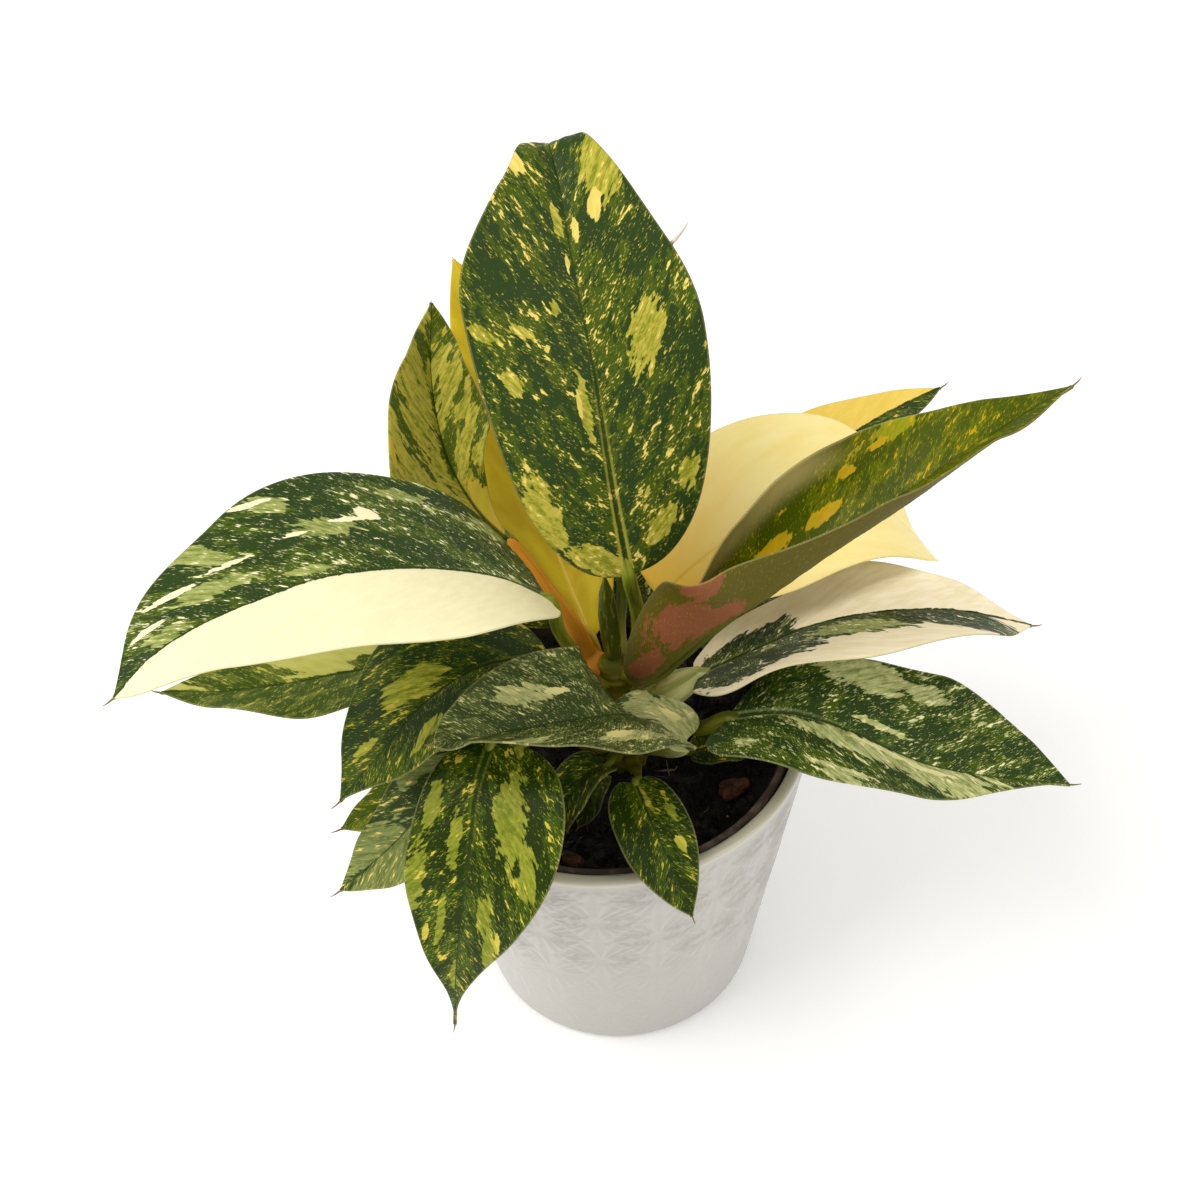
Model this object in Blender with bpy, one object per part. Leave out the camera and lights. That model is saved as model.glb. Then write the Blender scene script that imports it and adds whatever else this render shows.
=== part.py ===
"""Potted philodendron: a bushy variegated plant in a brown nursery pot that stands in a white cover pot.

Metres, +Z up, the foot of the cover pot centred on the origin. Sizes below are in millimetres.
"""
import bmesh
import bpy
import numpy as np

MM = 0.001
GAP = 0.3                    # between pieces that touch

POT_H, POT_RIM_R, POT_FOOT_R = 120.0, 67.0, 48.0
POT_WALL, POT_FLOOR = 4.0, 6.0
NURSERY_RIM_R, NURSERY_FOOT_R, NURSERY_H, NURSERY_WALL = 61.8, 42.5, 111.0, 1.3
NURSERY_FOOT_Z = POT_FLOOR + GAP
HOLE_R, HOLE_RING_R, HOLES = 4.0, 30.0, 6
SOIL_Z = 103.0
STEM_FOOT, STEM_TOP = (7.0, -5.0, 90.0), (4.0, 2.0, 146.0)
STEM_R = (8.0, 5.0)
STEM_CAP = 1.2                # the rounded tip of the stem
BLADE_MID, BLADE_EDGE = 1.1, 0.7

# Each leaf: where it leaves the stem (turn in degrees, height), the way its stalk takes, the stalk's
# radius, the line of its midrib, the half widths, and how each half is folded and curled along it.
LEAVES = {
    "leaf_top": dict(seat=(-20, 142), stalk=[(13, 0, 154), (12, -3, 174)], r=2.2,
        spine=[(10, -10, 194), (7, 0, 219), (4, 15, 250), (0, 32, 277), (-2, 46, 293), (-4, 58, 298),
               (-4, 76, 280), (-5, 89, 264)],
        width=(35.5, 33), belly=(.5, .4), taper=(5.2, 2.8), fold=((10, 14, 30), (10, 14, 30)),
        curl=((-8, -10), (-8, -10))),
    "leaf_arch_left": dict(seat=(195, 139), stalk=[(-7, -5, 153), (-12, -10, 173)], r=2.2,
        spine=[(-14, -15, 191), (-27, -22, 208), (-43, -30, 221), (-58, -38, 230), (-73, -46, 236),
               (-87, -54, 238), (-102, -62, 238), (-114, -70, 236), (-125, -76, 228)],
        width=(38, 39), belly=(.41, .39), base=(1.5, 2.2), taper=(.9, 1.0), fold=((10, 8, 10), (8, 10, 10))),
    "leaf_back_left": dict(seat=(150, 141), stalk=[(-8, 9, 155)], r=2.1,
        spine=[(-25, 25, 176), (-35, 30, 187), (-43, 38, 203), (-46, 52, 222), (-44, 66, 242)],
        width=(27, 16), belly=(.3, .5), base=(2.2, .9), taper=(1.2, .9), fold=((20, 28, 30), (30, 35, 30))),
    "leaf_gold": dict(seat=(115, 132), stalk=[], r=2.1,
        spine=[(-3, 12, 146), (-11, 36, 157), (-18, 58, 180), (-28, 82, 208), (-37, 103, 232)],
        width=(20, 24), belly=(.5, .5), base=(1.8, 1.8), fold=((15,), (15,))),
    "leaf_cream": dict(seat=(40, 137), stalk=[(12, 7, 147)], r=2.1,
        spine=[(20, 13, 160), (40, 22, 172), (65, 30, 179), (90, 38, 172), (110, 43, 147)],
        width=(36, 34), belly=(.45, .5), taper=(.9, .5), fold=((20,), (5,))),
    "leaf_rolled": dict(seat=(-75, 132), stalk=[(12, -10, 147)], r=2.2,
        spine=[(13, -19, 157), (24, -22, 173), (42, -24, 193), (56, -26, 208), (71, -26, 221),
               (88, -22, 230), (103, -18, 239), (134, -8, 252)],
        width=(25, 38), belly=(.5, .33), base=(1.25, 1.45), taper=(1.0, 1.4),
        fold=((30, 30, 27, 22, 15, 15), (-15, 9, 10, 17, 20, 15)),
        curl=((150, 140, 90, 68, 12, 0), (185, 155, 92, 50, 25, 0)), rows=15, cols=5),
    "leaf_half_cream": dict(seat=(0, 134), stalk=[(16, -1, 136)], r=2.5,
        spine=[(31, -5, 142), (50, -8, 156), (65, -10, 166), (83, -12, 172), (106, -14, 173),
               (132, -14, 164)],
        width=(25, 33), belly=(.5, .5), roll=16, fold=((10,), (10,))),
    "leaf_low_right": dict(seat=(-25, 122), stalk=[(17, -8, 127), (29, -19, 133)], r=2.5,
        spine=[(38, -28, 147), (56, -34, 154), (73, -40, 151), (96, -46, 140), (118, -50, 136),
               (139, -52, 133)],
        width=(29, 27), belly=(.6, .25), base=(1.6, 3.0), taper=(.9, 2.0), fold=((20, 18, 12), (18, 18, 12))),
    "leaf_folded": dict(seat=(-55, 116), stalk=[(13, -14, 120), (20, -23, 127)], r=1.9,
        spine=[(24, -31, 139), (16, -36, 155), (6, -43, 169), (-7, -52, 179), (-24, -62, 188),
               (-46, -74, 198)],
        width=(26, 21), belly=(.6, .6), base=(1.5, 3.2), taper=(.7, .7), rows=17, cols=3,
        fold=((15, 12, 15, 28, 40), (62, 15, -50, 10, 42, 42, 42, 42, 40))),
    "leaf_mid_left": dict(seat=(214, 131), stalk=[(-6, -11, 147)], r=2.0,
        spine=[(-15, -20, 172), (-35, -30, 180), (-50, -40, 179), (-64, -51, 171), (-78, -60, 160)],
        width=(22, 25), belly=(.45, .45), taper=(1.4, 1), fold=((10,), (10,))),
    "leaf_hanging": dict(seat=(235, 124), stalk=[(-8, -20, 140), (-21, -38, 160)], r=2.0,
        spine=[(-33, -50, 170), (-38, -64, 165), (-41, -76, 154), (-45, -84, 136), (-49, -88, 114),
               (-53, -88, 82)],
        width=(28, 18), belly=(.2, .38), taper=(2.5, 2.3), fold=((8,), (8,))),
    "leaf_low_grey": dict(seat=(222, 116), stalk=[(-9, -14, 128)], r=1.8,
        spine=[(-36, -37, 149), (-51, -48, 145), (-66, -58, 135), (-83, -66, 125)],
        width=(17, 14), belly=(.45, .45), fold=((10,), (10,))),
    "leaf_low_green": dict(seat=(198, 111), stalk=[(-12, -6, 117)], r=1.6,
        spine=[(-48, -16, 127), (-67, -26, 119), (-86, -34, 114)],
        width=(12, 9), belly=(.5, .5), fold=((10,), (10,))),
    "leaf_under_left": dict(seat=(176, 126), stalk=[(-12, 0, 136)], r=1.9,
        spine=[(-42, -5, 158), (-74, -12, 163), (-95, -18, 166), (-114, -24, 171), (-130, -28, 177)],
        width=(18, 18), belly=(.45, .45), fold=((10,), (10,))),
    "leaf_small_front": dict(seat=(-78, 109), stalk=[(9, -22, 117), (9, -34, 128)], r=1.2,
        spine=[(8, -41, 135), (11, -53, 134), (16, -65, 127), (22, -76, 113)],
        width=(11, 12.5), belly=(.38, .38), fold=((10,), (10,))),
    "leaf_small_right": dict(seat=(-22, 109), stalk=[(20, -9, 110)], r=1.1,
        spine=[(28, -11, 112), (37, -11, 114), (47, -9, 108)],
        width=(8, 8), belly=(.4, .4), fold=((10,), (10,))),
    "leaf_back_right": dict(seat=(58, 130), stalk=[(14, 16, 138)], r=2.0,
        spine=[(33, 42, 146), (66, 66, 157), (98, 83, 167), (123, 92, 173)],
        width=(20, 20), belly=(.45, .45), fold=((5,), (10,))),
    "leaf_drip_tip": dict(seat=(84, 138), stalk=[(6, 17, 139), (8, 29, 141)], r=2.0,
        spine=[(9, 40, 146), (10, 62, 170), (14, 89, 197), (23, 110, 219), (33, 115, 224)],
        width=(20, 16), belly=(.4, .4), taper=(2.6, 2.6), fold=((10,), (10,))),
    "leaf_far_left": dict(seat=(135, 120), stalk=[(-4, 14, 128)], r=1.9,
        spine=[(-12, 26, 140), (-28, 46, 146), (-45, 62, 142), (-60, 76, 128)],
        width=(22, 22), belly=(.42, .42), fold=((12,), (12,))),
    "leaf_far_mid": dict(seat=(98, 116), stalk=[(4, 16, 122)], r=1.9,
        spine=[(4, 34, 132), (7, 60, 141), (12, 86, 136), (15, 106, 120)],
        width=(24, 24), belly=(.42, .42), fold=((12,), (12,))),
    "leaf_far_right": dict(seat=(28, 118), stalk=[(17, 9, 124)], r=1.9,
        spine=[(31, 20, 132), (50, 33, 137), (68, 45, 130), (82, 56, 114)],
        width=(20, 20), belly=(.42, .42), fold=((12,), (12,))),
    "leaf_curl_front": dict(seat=(-112, 112), stalk=[(2, -18, 120)], r=1.1,
        spine=[(-1, -27, 127), (-7, -33, 131), (-13, -38, 125), (-17, -41, 111)],
        width=(9, 8), belly=(.45, .45), fold=((20,), (20,)), curl=((20,), (20,))),
    "leaf_curl_low": dict(seat=(-140, 109), stalk=[(-3, -14, 112)], r=0.9,
        spine=[(-2, -20, 114), (-5, -25, 114), (-8, -30, 109), (-11, -33, 105)],
        width=(6, 6), belly=(.45, .45), fold=((20,), (20,)), curl=((20,), (20,))),
}
# Bark chips: centre on the soil, long, short and high sides, turn.
CHIPS = {
    "bark_chip_a": (40, -22, 11, 7, 4, 25),
    "bark_chip_b": (-14, -46, 9, 5, 3, -40),
    "bark_chip_c": (26, 34, 10, 7, 4, 70),
    "bark_chip_d": (-38, 20, 8, 6, 3, 10),
}


def material(obj, name, colour, rough):
    mat = bpy.data.materials.new(name)
    mat.use_nodes = True
    shader = mat.node_tree.nodes["Principled BSDF"]
    shader.inputs["Base Color"].default_value = (*colour, 1)
    shader.inputs["Roughness"].default_value = rough
    obj.data.materials.append(mat)


def solid(name, verts, faces, colour, rough):
    """An object from points in millimetres and faces that close it, facing out."""
    mesh = bpy.data.meshes.new(name)
    mesh.from_pydata((np.asarray(verts) * MM).tolist(), [], faces)
    work = bmesh.new()
    work.from_mesh(mesh)
    bmesh.ops.recalc_face_normals(work, faces=work.faces)
    work.to_mesh(mesh)
    work.free()
    obj = bpy.data.objects.new(name, mesh)
    bpy.context.scene.collection.objects.link(obj)
    material(obj, name, colour, rough)
    return obj


def loft(name, rings, colour, rough):
    """A closed solid through rings of equal count, with both ends filled."""
    rings = np.asarray(rings)
    count, n = rings.shape[:2]
    faces = [[i * n + j, i * n + (j + 1) % n, (i + 1) * n + (j + 1) % n, (i + 1) * n + j]
             for i in range(count - 1) for j in range(n)]
    faces += [list(range(n))[::-1], [(count - 1) * n + j for j in range(n)]]
    return solid(name, rings.reshape(-1, 3), faces, colour, rough)


def turned(name, profile, steps, colour, rough):
    """A solid of revolution about Z. The profile runs from the axis round to the axis: (radius, z)."""
    turn = np.linspace(0, 2 * np.pi, steps, endpoint=False)
    verts, rows = [], []
    for r, z in profile:
        if r == 0:
            rows.append([len(verts)])
            verts.append((0, 0, z))
        else:
            rows.append(list(range(len(verts), len(verts) + steps)))
            verts += [(r * np.cos(a), r * np.sin(a), z) for a in turn]
    faces = []
    for low, high in zip(rows[:-1], rows[1:]):
        for j in range(steps):
            k = (j + 1) % steps
            loop = [low[j % len(low)], low[k % len(low)], high[k % len(high)], high[j % len(high)]]
            faces.append(list(dict.fromkeys(loop)))
    return solid(name, verts, faces, colour, rough)


def smooth_path(points, count):
    """A centripetal Catmull-Rom curve through the points, at even steps along its length."""
    p = np.array(points, float)
    p = np.vstack([2 * p[0] - p[1], p, 2 * p[-1] - p[-2]])
    out = []
    for i in range(1, len(p) - 2):
        a, b, c, d = p[i - 1:i + 3]
        knots = np.cumsum([0] + [np.linalg.norm(e) ** 0.5 for e in (b - a, c - b, d - c)])
        t = np.linspace(knots[1], knots[2], 24, endpoint=False)[:, None]
        ab, bc, cd = ((q * (knots[k + 1] - t) + r * (t - knots[k])) / (knots[k + 1] - knots[k])
                      for k, (q, r) in enumerate(((a, b), (b, c), (c, d))))
        abc = (ab * (knots[2] - t) + bc * (t - knots[0])) / (knots[2] - knots[0])
        bcd = (bc * (knots[3] - t) + cd * (t - knots[1])) / (knots[3] - knots[1])
        out.append((abc * (knots[2] - t) + bcd * (t - knots[1])) / (knots[2] - knots[1]))
    q = np.vstack(out + [p[-2][None]])
    s = np.r_[0, np.cumsum(np.linalg.norm(np.diff(q, axis=0), axis=1))]
    at = np.linspace(0, s[-1], count) if np.isscalar(count) else np.asarray(count) * s[-1]
    return np.stack([np.interp(at, s, q[:, k]) for k in range(3)], 1)


def along(values, t):
    """A value eased between even stations from the base of the blade (t = 0) to its tip (t = 1)."""
    v = np.atleast_1d(np.asarray(values, float))
    if len(v) == 1:
        return np.full_like(t, v[0])
    x = t * (len(v) - 1)
    k = np.clip(x.astype(int), 0, len(v) - 2)
    f = (x - k) ** 2 * (3 - 2 * (x - k))
    return v[k] * (1 - f) + v[k + 1] * f


def outline(t, belly, base, taper):
    """Half width of the blade, 0 to 1: rounded at the base, drawn out to the tip."""
    low = np.clip(1 - t / belly, 0, 1)
    high = np.clip((t - belly) / (1 - belly), 0, 1)
    return np.where(t < belly, (1 - low ** base) ** (1 / base), (1 - high ** 1.9) ** taper)


def stem_at(z):
    f = (z - STEM_FOOT[2]) / (STEM_TOP[2] - STEM_FOOT[2])
    centre = np.array(STEM_FOOT) * (1 - f) + np.array(STEM_TOP) * f
    return centre, STEM_R[0] * (1 - f) + STEM_R[1] * f


def leaf(name, seat, stalk, r, spine, width, belly, fold, taper=(1, 1), base=(2.2, 2.2), curl=((0,), (0,)),
         roll=0, rows=12, cols=2):
    """One leaf as it grew: a round stalk that spreads into a thin folded blade."""
    centre, radius = stem_at(seat[1])
    out = np.array([np.cos(np.radians(seat[0])), np.sin(np.radians(seat[0])), 0.0])
    foot = centre + out * (radius + 2 * GAP)
    first = foot + out * 4.0 + np.array([0, 0, 0.8])
    n = 2 * (2 * cols + 1)
    across = np.arange(-cols, cols + 1) / cols
    ring_turn = np.pi - (np.arange(n) + 0.5) * 2 * np.pi / n

    stalk_path = smooth_path([foot, first, *stalk, spine[0], spine[1]], 40)
    stop = np.argmin(np.linalg.norm(stalk_path - np.array(spine[0]), axis=1))
    pick = np.unique(np.linspace(0, stop, max(4, int(stop * 0.13) + 3)).astype(int))[:-1]
    tangents = np.gradient(stalk_path, axis=0)
    rings = []
    length = np.array(spine[-1]) - np.array(spine[0]) if len(spine) < 6 else (
        np.array(spine[len(spine) * 2 // 3]) - np.array(spine[0]))
    lead = np.cross(length, [0, 0, 1.0])
    for i in pick:
        d = out if i == 0 else tangents[i] / np.linalg.norm(tangents[i])
        s = lead - (lead @ d) * d
        s /= np.linalg.norm(s)
        up = np.cross(s, d)
        rad = r * (1 + 0.2 * (1 - i / stop) ** 3)
        rings.append(stalk_path[i] + rad * (np.cos(ring_turn)[:, None] * s
                                            + np.sin(ring_turn)[:, None] * up))

    t = np.concatenate([[0, 0.025], np.linspace(0.07, 1, rows)])
    mid = smooth_path(spine, t)
    ahead = smooth_path(spine, np.clip(t + 0.01, 0, 1)) - smooth_path(spine, np.clip(t - 0.01, 0, 1))
    ahead /= np.linalg.norm(ahead, axis=1)[:, None]
    turn = np.radians(along(roll, t))
    s = lead
    for i in range(len(t)):
        s = s - (s @ ahead[i]) * ahead[i]
        s = s / np.linalg.norm(s)
        up = np.cross(s, ahead[i])
        side = s * np.cos(turn[i]) + up * np.sin(turn[i])
        rise = up * np.cos(turn[i]) - s * np.sin(turn[i])
        rib = BLADE_MID + (2 * r - BLADE_MID) * max(0, 1 - t[i] / 0.3) ** 2
        top, bottom = [], []
        for a in across:
            h = int(a > 0)
            w = width[h] * outline(t[i:i + 1], belly[h], base[h], taper[h])[0]
            w = max(w, r if t[i] < 0.1 else 0.45)
            soft = min(1, w / (5 * r))
            f0 = np.radians(along(fold[h], t[i:i + 1])[0]) * soft
            c = np.radians(along(curl[h], t[i:i + 1])[0]) * soft
            c = c if abs(c) > 1e-3 else 1e-3
            u = abs(a)
            x = w * (np.sin(f0 + c * u) - np.sin(f0)) / c
            y = w * (np.cos(f0) - np.cos(f0 + c * u)) / c
            lean = (f0 + c * u) * (u > 0)
            sign = 1 if a >= 0 else -1
            point = mid[i] + side * sign * x + rise * y
            normal = -side * sign * np.sin(lean) + rise * np.cos(lean)
            thick = BLADE_EDGE + (rib - BLADE_EDGE) * (1 - u) ** 2
            top.append(point + normal * thick / 2)
            bottom.append(point - normal * thick / 2)
        rings.append(np.array(top + bottom[::-1]))
    return loft(name, rings, (0.10, 0.17, 0.06), 0.4)


def soil_height(x, y):
    """The crumbly top of the soil: low mounds a millimetre or so high."""
    return SOIL_Z + 0.7 * np.sin(x * 0.21 + 1.0) * np.cos(y * 0.17) + 0.5 * np.sin(x * 0.09 - y * 0.33)


for old in list(bpy.data.objects):
    bpy.data.objects.remove(old)

# Cover pot: cast, with a flat foot, a straight taper and a rounded rim.
foot_out = POT_FOOT_R + (POT_RIM_R - POT_FOOT_R) * POT_FLOOR / POT_H
inner_foot = foot_out - POT_WALL
turned("cover_pot", [(0, 0), (POT_FOOT_R - 4, 0), (POT_FOOT_R - 1.2, 1.2), (POT_FOOT_R + 0.6, 4),
                     (POT_RIM_R, POT_H - 1.5), (POT_RIM_R - 1, POT_H), (POT_RIM_R - POT_WALL + 1, POT_H),
                     (POT_RIM_R - POT_WALL, POT_H - 1.5), (inner_foot + 1.2, POT_FLOOR + 3),
                     (inner_foot - 2, POT_FLOOR), (0, POT_FLOOR)], 56, (0.72, 0.72, 0.70), 0.35)

# Nursery pot: thin moulded plastic with a rolled rim and a ring of drain holes in its floor.
z0 = NURSERY_FOOT_Z
zt = z0 + NURSERY_H
wall = NURSERY_WALL
nursery = turned("nursery_pot", [
    (0, z0), (NURSERY_FOOT_R - 1.5, z0), (NURSERY_FOOT_R, z0 + 1.5), (NURSERY_RIM_R - 1.2, zt - 6),
    (NURSERY_RIM_R, zt - 5.5), (NURSERY_RIM_R, zt - 0.6), (NURSERY_RIM_R - 0.6, zt),
    (NURSERY_RIM_R - 2.2, zt), (NURSERY_RIM_R - 2.8, zt - 0.8),
    (NURSERY_FOOT_R - wall, z0 + wall + 1), (NURSERY_FOOT_R - wall - 1.2, z0 + wall), (0, z0 + wall)],
    56, (0.035, 0.022, 0.016), 0.5)
cutter_verts, cutter_faces = [], []
for h in range(HOLES):
    a = 2 * np.pi * (h + 0.5) / HOLES
    cx, cy = HOLE_RING_R * np.cos(a), HOLE_RING_R * np.sin(a)
    start = len(cutter_verts)
    for z in (z0 - 2, z0 + wall + 2):
        cutter_verts += [(cx + HOLE_R * np.cos(b), cy + HOLE_R * np.sin(b), z)
                         for b in np.linspace(0, 2 * np.pi, 12, endpoint=False)]
    cutter_faces += [[start + j, start + (j + 1) % 12, start + 12 + (j + 1) % 12, start + 12 + j]
                     for j in range(12)]
    cutter_faces += [[start + j for j in range(12)][::-1], [start + 12 + j for j in range(12)]]
cutter = solid("drain_cutter", cutter_verts, cutter_faces, (0, 0, 0), 1)
cutter.hide_render = True
cut = nursery.modifiers.new("drain_holes", "BOOLEAN")
cut.operation, cut.solver, cut.object = "DIFFERENCE", "EXACT", cutter

# Soil: fills the nursery pot to a finger's width under its rim, with a socket where the stem is rooted.
steps = 44
turn = np.linspace(0, 2 * np.pi, steps, endpoint=False)
circle = np.stack([np.cos(turn), np.sin(turn)], 1)
low_z = z0 + wall + GAP
slope = (NURSERY_RIM_R - 2.8 - (NURSERY_FOOT_R - wall)) / (NURSERY_H - 0.8 - wall - 1)
side_r = NURSERY_FOOT_R - wall + slope * (SOIL_Z - 2 - z0 - wall - 1) - GAP - 0.25
stem_xy = np.array(stem_at(SOIL_Z)[0][:2])
socket = STEM_R[0] + GAP + 0.4
rings = [np.c_[circle * 6, np.full(steps, low_z)],
         np.c_[circle * (NURSERY_FOOT_R - wall - 2.2), np.full(steps, low_z)],
         np.c_[circle * (NURSERY_FOOT_R - wall - 0.9), np.full(steps, low_z + 2)],
         np.c_[circle * side_r, np.full(steps, SOIL_Z - 2.5)]]
for f in (0.97, 0.8, 0.6, 0.4, 0.2):
    xy = circle * (socket + (side_r - socket) * f) + stem_xy * (1 - f)
    rings.append(np.c_[xy, soil_height(xy[:, 0], xy[:, 1])])
xy = circle * socket + stem_xy
rings += [np.c_[xy, np.full(steps, SOIL_Z - 0.5)],
          np.c_[circle * socket + np.array(STEM_FOOT[:2]), np.full(steps, STEM_FOOT[2] - GAP)],
          np.c_[circle * 2 + np.array(STEM_FOOT[:2]), np.full(steps, STEM_FOOT[2] - GAP)]]
loft("soil", rings, (0.018, 0.012, 0.009), 0.95)

# Stem: short and thick, ringed by old leaf scars, rooted in the soil.
turn = np.linspace(0, 2 * np.pi, 14, endpoint=False)
rings = []
for z in np.linspace(STEM_FOOT[2], STEM_TOP[2], 7):
    centre, radius = stem_at(z)
    rings.append(centre + radius * np.c_[np.cos(turn), np.sin(turn), np.zeros(14)])
rings.append(rings[-1] * 0.65 + np.array(STEM_TOP) * 0.35 + [0, 0, STEM_CAP])
loft("stem", rings, (0.16, 0.19, 0.07), 0.5)

# New leaf, still rolled, standing on the tip of the stem.
top = np.array(STEM_TOP) + [0, 0, STEM_CAP + GAP]
turn = np.linspace(0, 2 * np.pi, 8, endpoint=False)
rings = [top + [-h * 0.03, h * 0.02, h] + rad * np.c_[np.cos(turn), np.sin(turn), np.zeros(8)]
         for h, rad in ((0, 2.4), (8, 3.0), (18, 3.0), (27, 2.0), (34, 0.4))]
loft("new_leaf", rings, (0.08, 0.13, 0.04), 0.4)

for name, values in LEAVES.items():
    leaf(name, **values)

for name, (cx, cy, long, short, high, turned_by) in CHIPS.items():
    a = np.radians(turned_by)
    turn = np.linspace(0, 2 * np.pi, 7, endpoint=False) + a
    wobble = 1 + 0.13 * np.sin(3 * turn + cx)
    ring = np.stack([long / 2 * np.cos(turn - a) * wobble, short / 2 * np.sin(turn - a) * wobble], 1)
    ring = ring @ np.array([[np.cos(a), np.sin(a)], [-np.sin(a), np.cos(a)]]) + [cx, cy]
    foot = soil_height(*(np.r_[ring, ring * 0.6 + np.array([cx, cy]) * 0.4].T)).max() + GAP
    rings = [np.c_[(ring - [cx, cy]) * k + [cx, cy], np.full(7, foot + dz)]
             for k, dz in ((0.8, 0), (1.0, high * 0.35), (0.85, high * 0.8), (0.5, high))]
    loft(name, rings, (0.12, 0.05, 0.025), 0.85)
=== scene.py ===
from itertools import accumulate, combinations

import bpy
import numpy as np
from mathutils import Matrix, Vector


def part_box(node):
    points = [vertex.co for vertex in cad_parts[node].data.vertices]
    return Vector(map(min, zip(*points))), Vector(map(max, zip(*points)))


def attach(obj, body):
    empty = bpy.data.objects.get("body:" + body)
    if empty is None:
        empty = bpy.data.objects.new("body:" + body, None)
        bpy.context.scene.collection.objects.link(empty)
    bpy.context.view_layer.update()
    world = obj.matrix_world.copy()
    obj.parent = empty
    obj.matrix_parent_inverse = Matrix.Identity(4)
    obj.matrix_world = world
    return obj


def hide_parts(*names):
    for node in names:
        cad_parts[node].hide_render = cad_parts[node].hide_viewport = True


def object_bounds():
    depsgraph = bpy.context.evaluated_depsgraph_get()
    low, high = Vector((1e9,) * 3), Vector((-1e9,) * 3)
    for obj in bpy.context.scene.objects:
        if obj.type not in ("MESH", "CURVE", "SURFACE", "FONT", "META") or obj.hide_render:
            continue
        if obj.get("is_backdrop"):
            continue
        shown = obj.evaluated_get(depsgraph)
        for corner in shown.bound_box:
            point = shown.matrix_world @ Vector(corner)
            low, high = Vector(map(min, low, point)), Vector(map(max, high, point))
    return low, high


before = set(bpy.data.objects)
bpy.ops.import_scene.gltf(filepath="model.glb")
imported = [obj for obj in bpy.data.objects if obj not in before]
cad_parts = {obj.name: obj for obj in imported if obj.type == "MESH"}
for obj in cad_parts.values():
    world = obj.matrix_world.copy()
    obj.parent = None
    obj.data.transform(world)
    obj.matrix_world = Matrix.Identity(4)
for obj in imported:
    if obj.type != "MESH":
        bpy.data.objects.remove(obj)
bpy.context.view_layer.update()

MM = 0.001

# Studio. A pale card floor under a wide, even, soft sky, with one big soft lamp high on the left
# and a weaker one on the right. The lens stands in front of the pot and looks down at 45 degrees,
# held a little out of level.
LENS_AIM = np.array([1.1, 0, 174.3]) * MM
LENS_AWAY, LENS_RISE, LENS_TIP = 0.553, np.radians(45.2), np.radians(-4.1)
away = np.array([0, -np.cos(LENS_RISE), np.sin(LENS_RISE)])
level = np.array([1.0, 0, 0])
above = np.cross(away, level)
place = np.eye(4)
place[:3] = np.stack([np.cos(LENS_TIP) * level + np.sin(LENS_TIP) * above,
                      np.cos(LENS_TIP) * above - np.sin(LENS_TIP) * level,
                      away, LENS_AIM + away * LENS_AWAY], 1)
camera = bpy.data.objects.new("camera", bpy.data.cameras.new("camera"))
camera.data.lens, camera.data.sensor_width = 54, 36
camera.data.clip_start, camera.data.clip_end = 0.01, 20
camera.matrix_world = Matrix(place.tolist())
bpy.context.scene.collection.objects.link(camera)
bpy.context.scene.camera = camera
bpy.context.scene.view_settings.view_transform = "Standard"


def lamp(name, stands, size, watts, tint):
    """A square soft lamp whose face is turned to the middle of the plant."""
    light = bpy.data.lights.new(name, "AREA")
    light.size, light.energy, light.color = size, watts, tint
    holder = bpy.data.objects.new(name, light)
    holder.location = stands
    holder.rotation_euler = (holder.location - Vector(LENS_AIM)).to_track_quat("Z", "Y").to_euler()
    bpy.context.scene.collection.objects.link(holder)


lamp("lamp_left", (-0.8, -0.3, 1.4), 0.9, 15, (1, 0.98, 0.94))
lamp("lamp_right", (1.0, -0.7, 0.9), 0.9, 4, (1, 0.99, 0.97))
sky = bpy.data.worlds.new("sky")
sky.use_nodes = True
sky.node_tree.nodes["Background"].inputs["Color"].default_value = (1, 0.99, 0.965, 1)
sky.node_tree.nodes["Background"].inputs["Strength"].default_value = 0.82
bpy.context.scene.world = sky


def paint(red, green, blue):
    """A colour as a colour chart gives it, 0 to 255, turned into the light it reflects: each
    channel is put through the display curve backwards."""
    chart = np.array([red, green, blue]) / 255
    light = np.where(chart < 0.04045, chart / 12.92, ((chart + 0.055) / 1.055) ** 2.4)
    return (*light.tolist(), 1)


class Wire:
    """A value or colour that varies over a surface. Arithmetic on values adds Math nodes to their
    finish."""

    def __init__(self, finish, socket):
        self.finish, self.socket = finish, socket

    def math(self, operation, *others):
        values = dict(enumerate((self, *others)))
        return self.finish.add("ShaderNodeMath", {"operation": operation}, values)

    def __add__(self, other):
        return self.math("ADD", other)

    def __sub__(self, other):
        return self.math("SUBTRACT", other)

    def __rsub__(self, other):
        return self.math("MULTIPLY_ADD", -1, other)

    def __mul__(self, other):
        return self.math("MULTIPLY", other)

    def over(self, level, soft):
        """1 where the value is above the level and 0 where it is below, eased over a soft step."""
        return self.finish.add("ShaderNodeMapRange", {"interpolation_type": "SMOOTHSTEP"},
                               {"Value": self, "From Min": level - soft, "From Max": level + soft})


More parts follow.
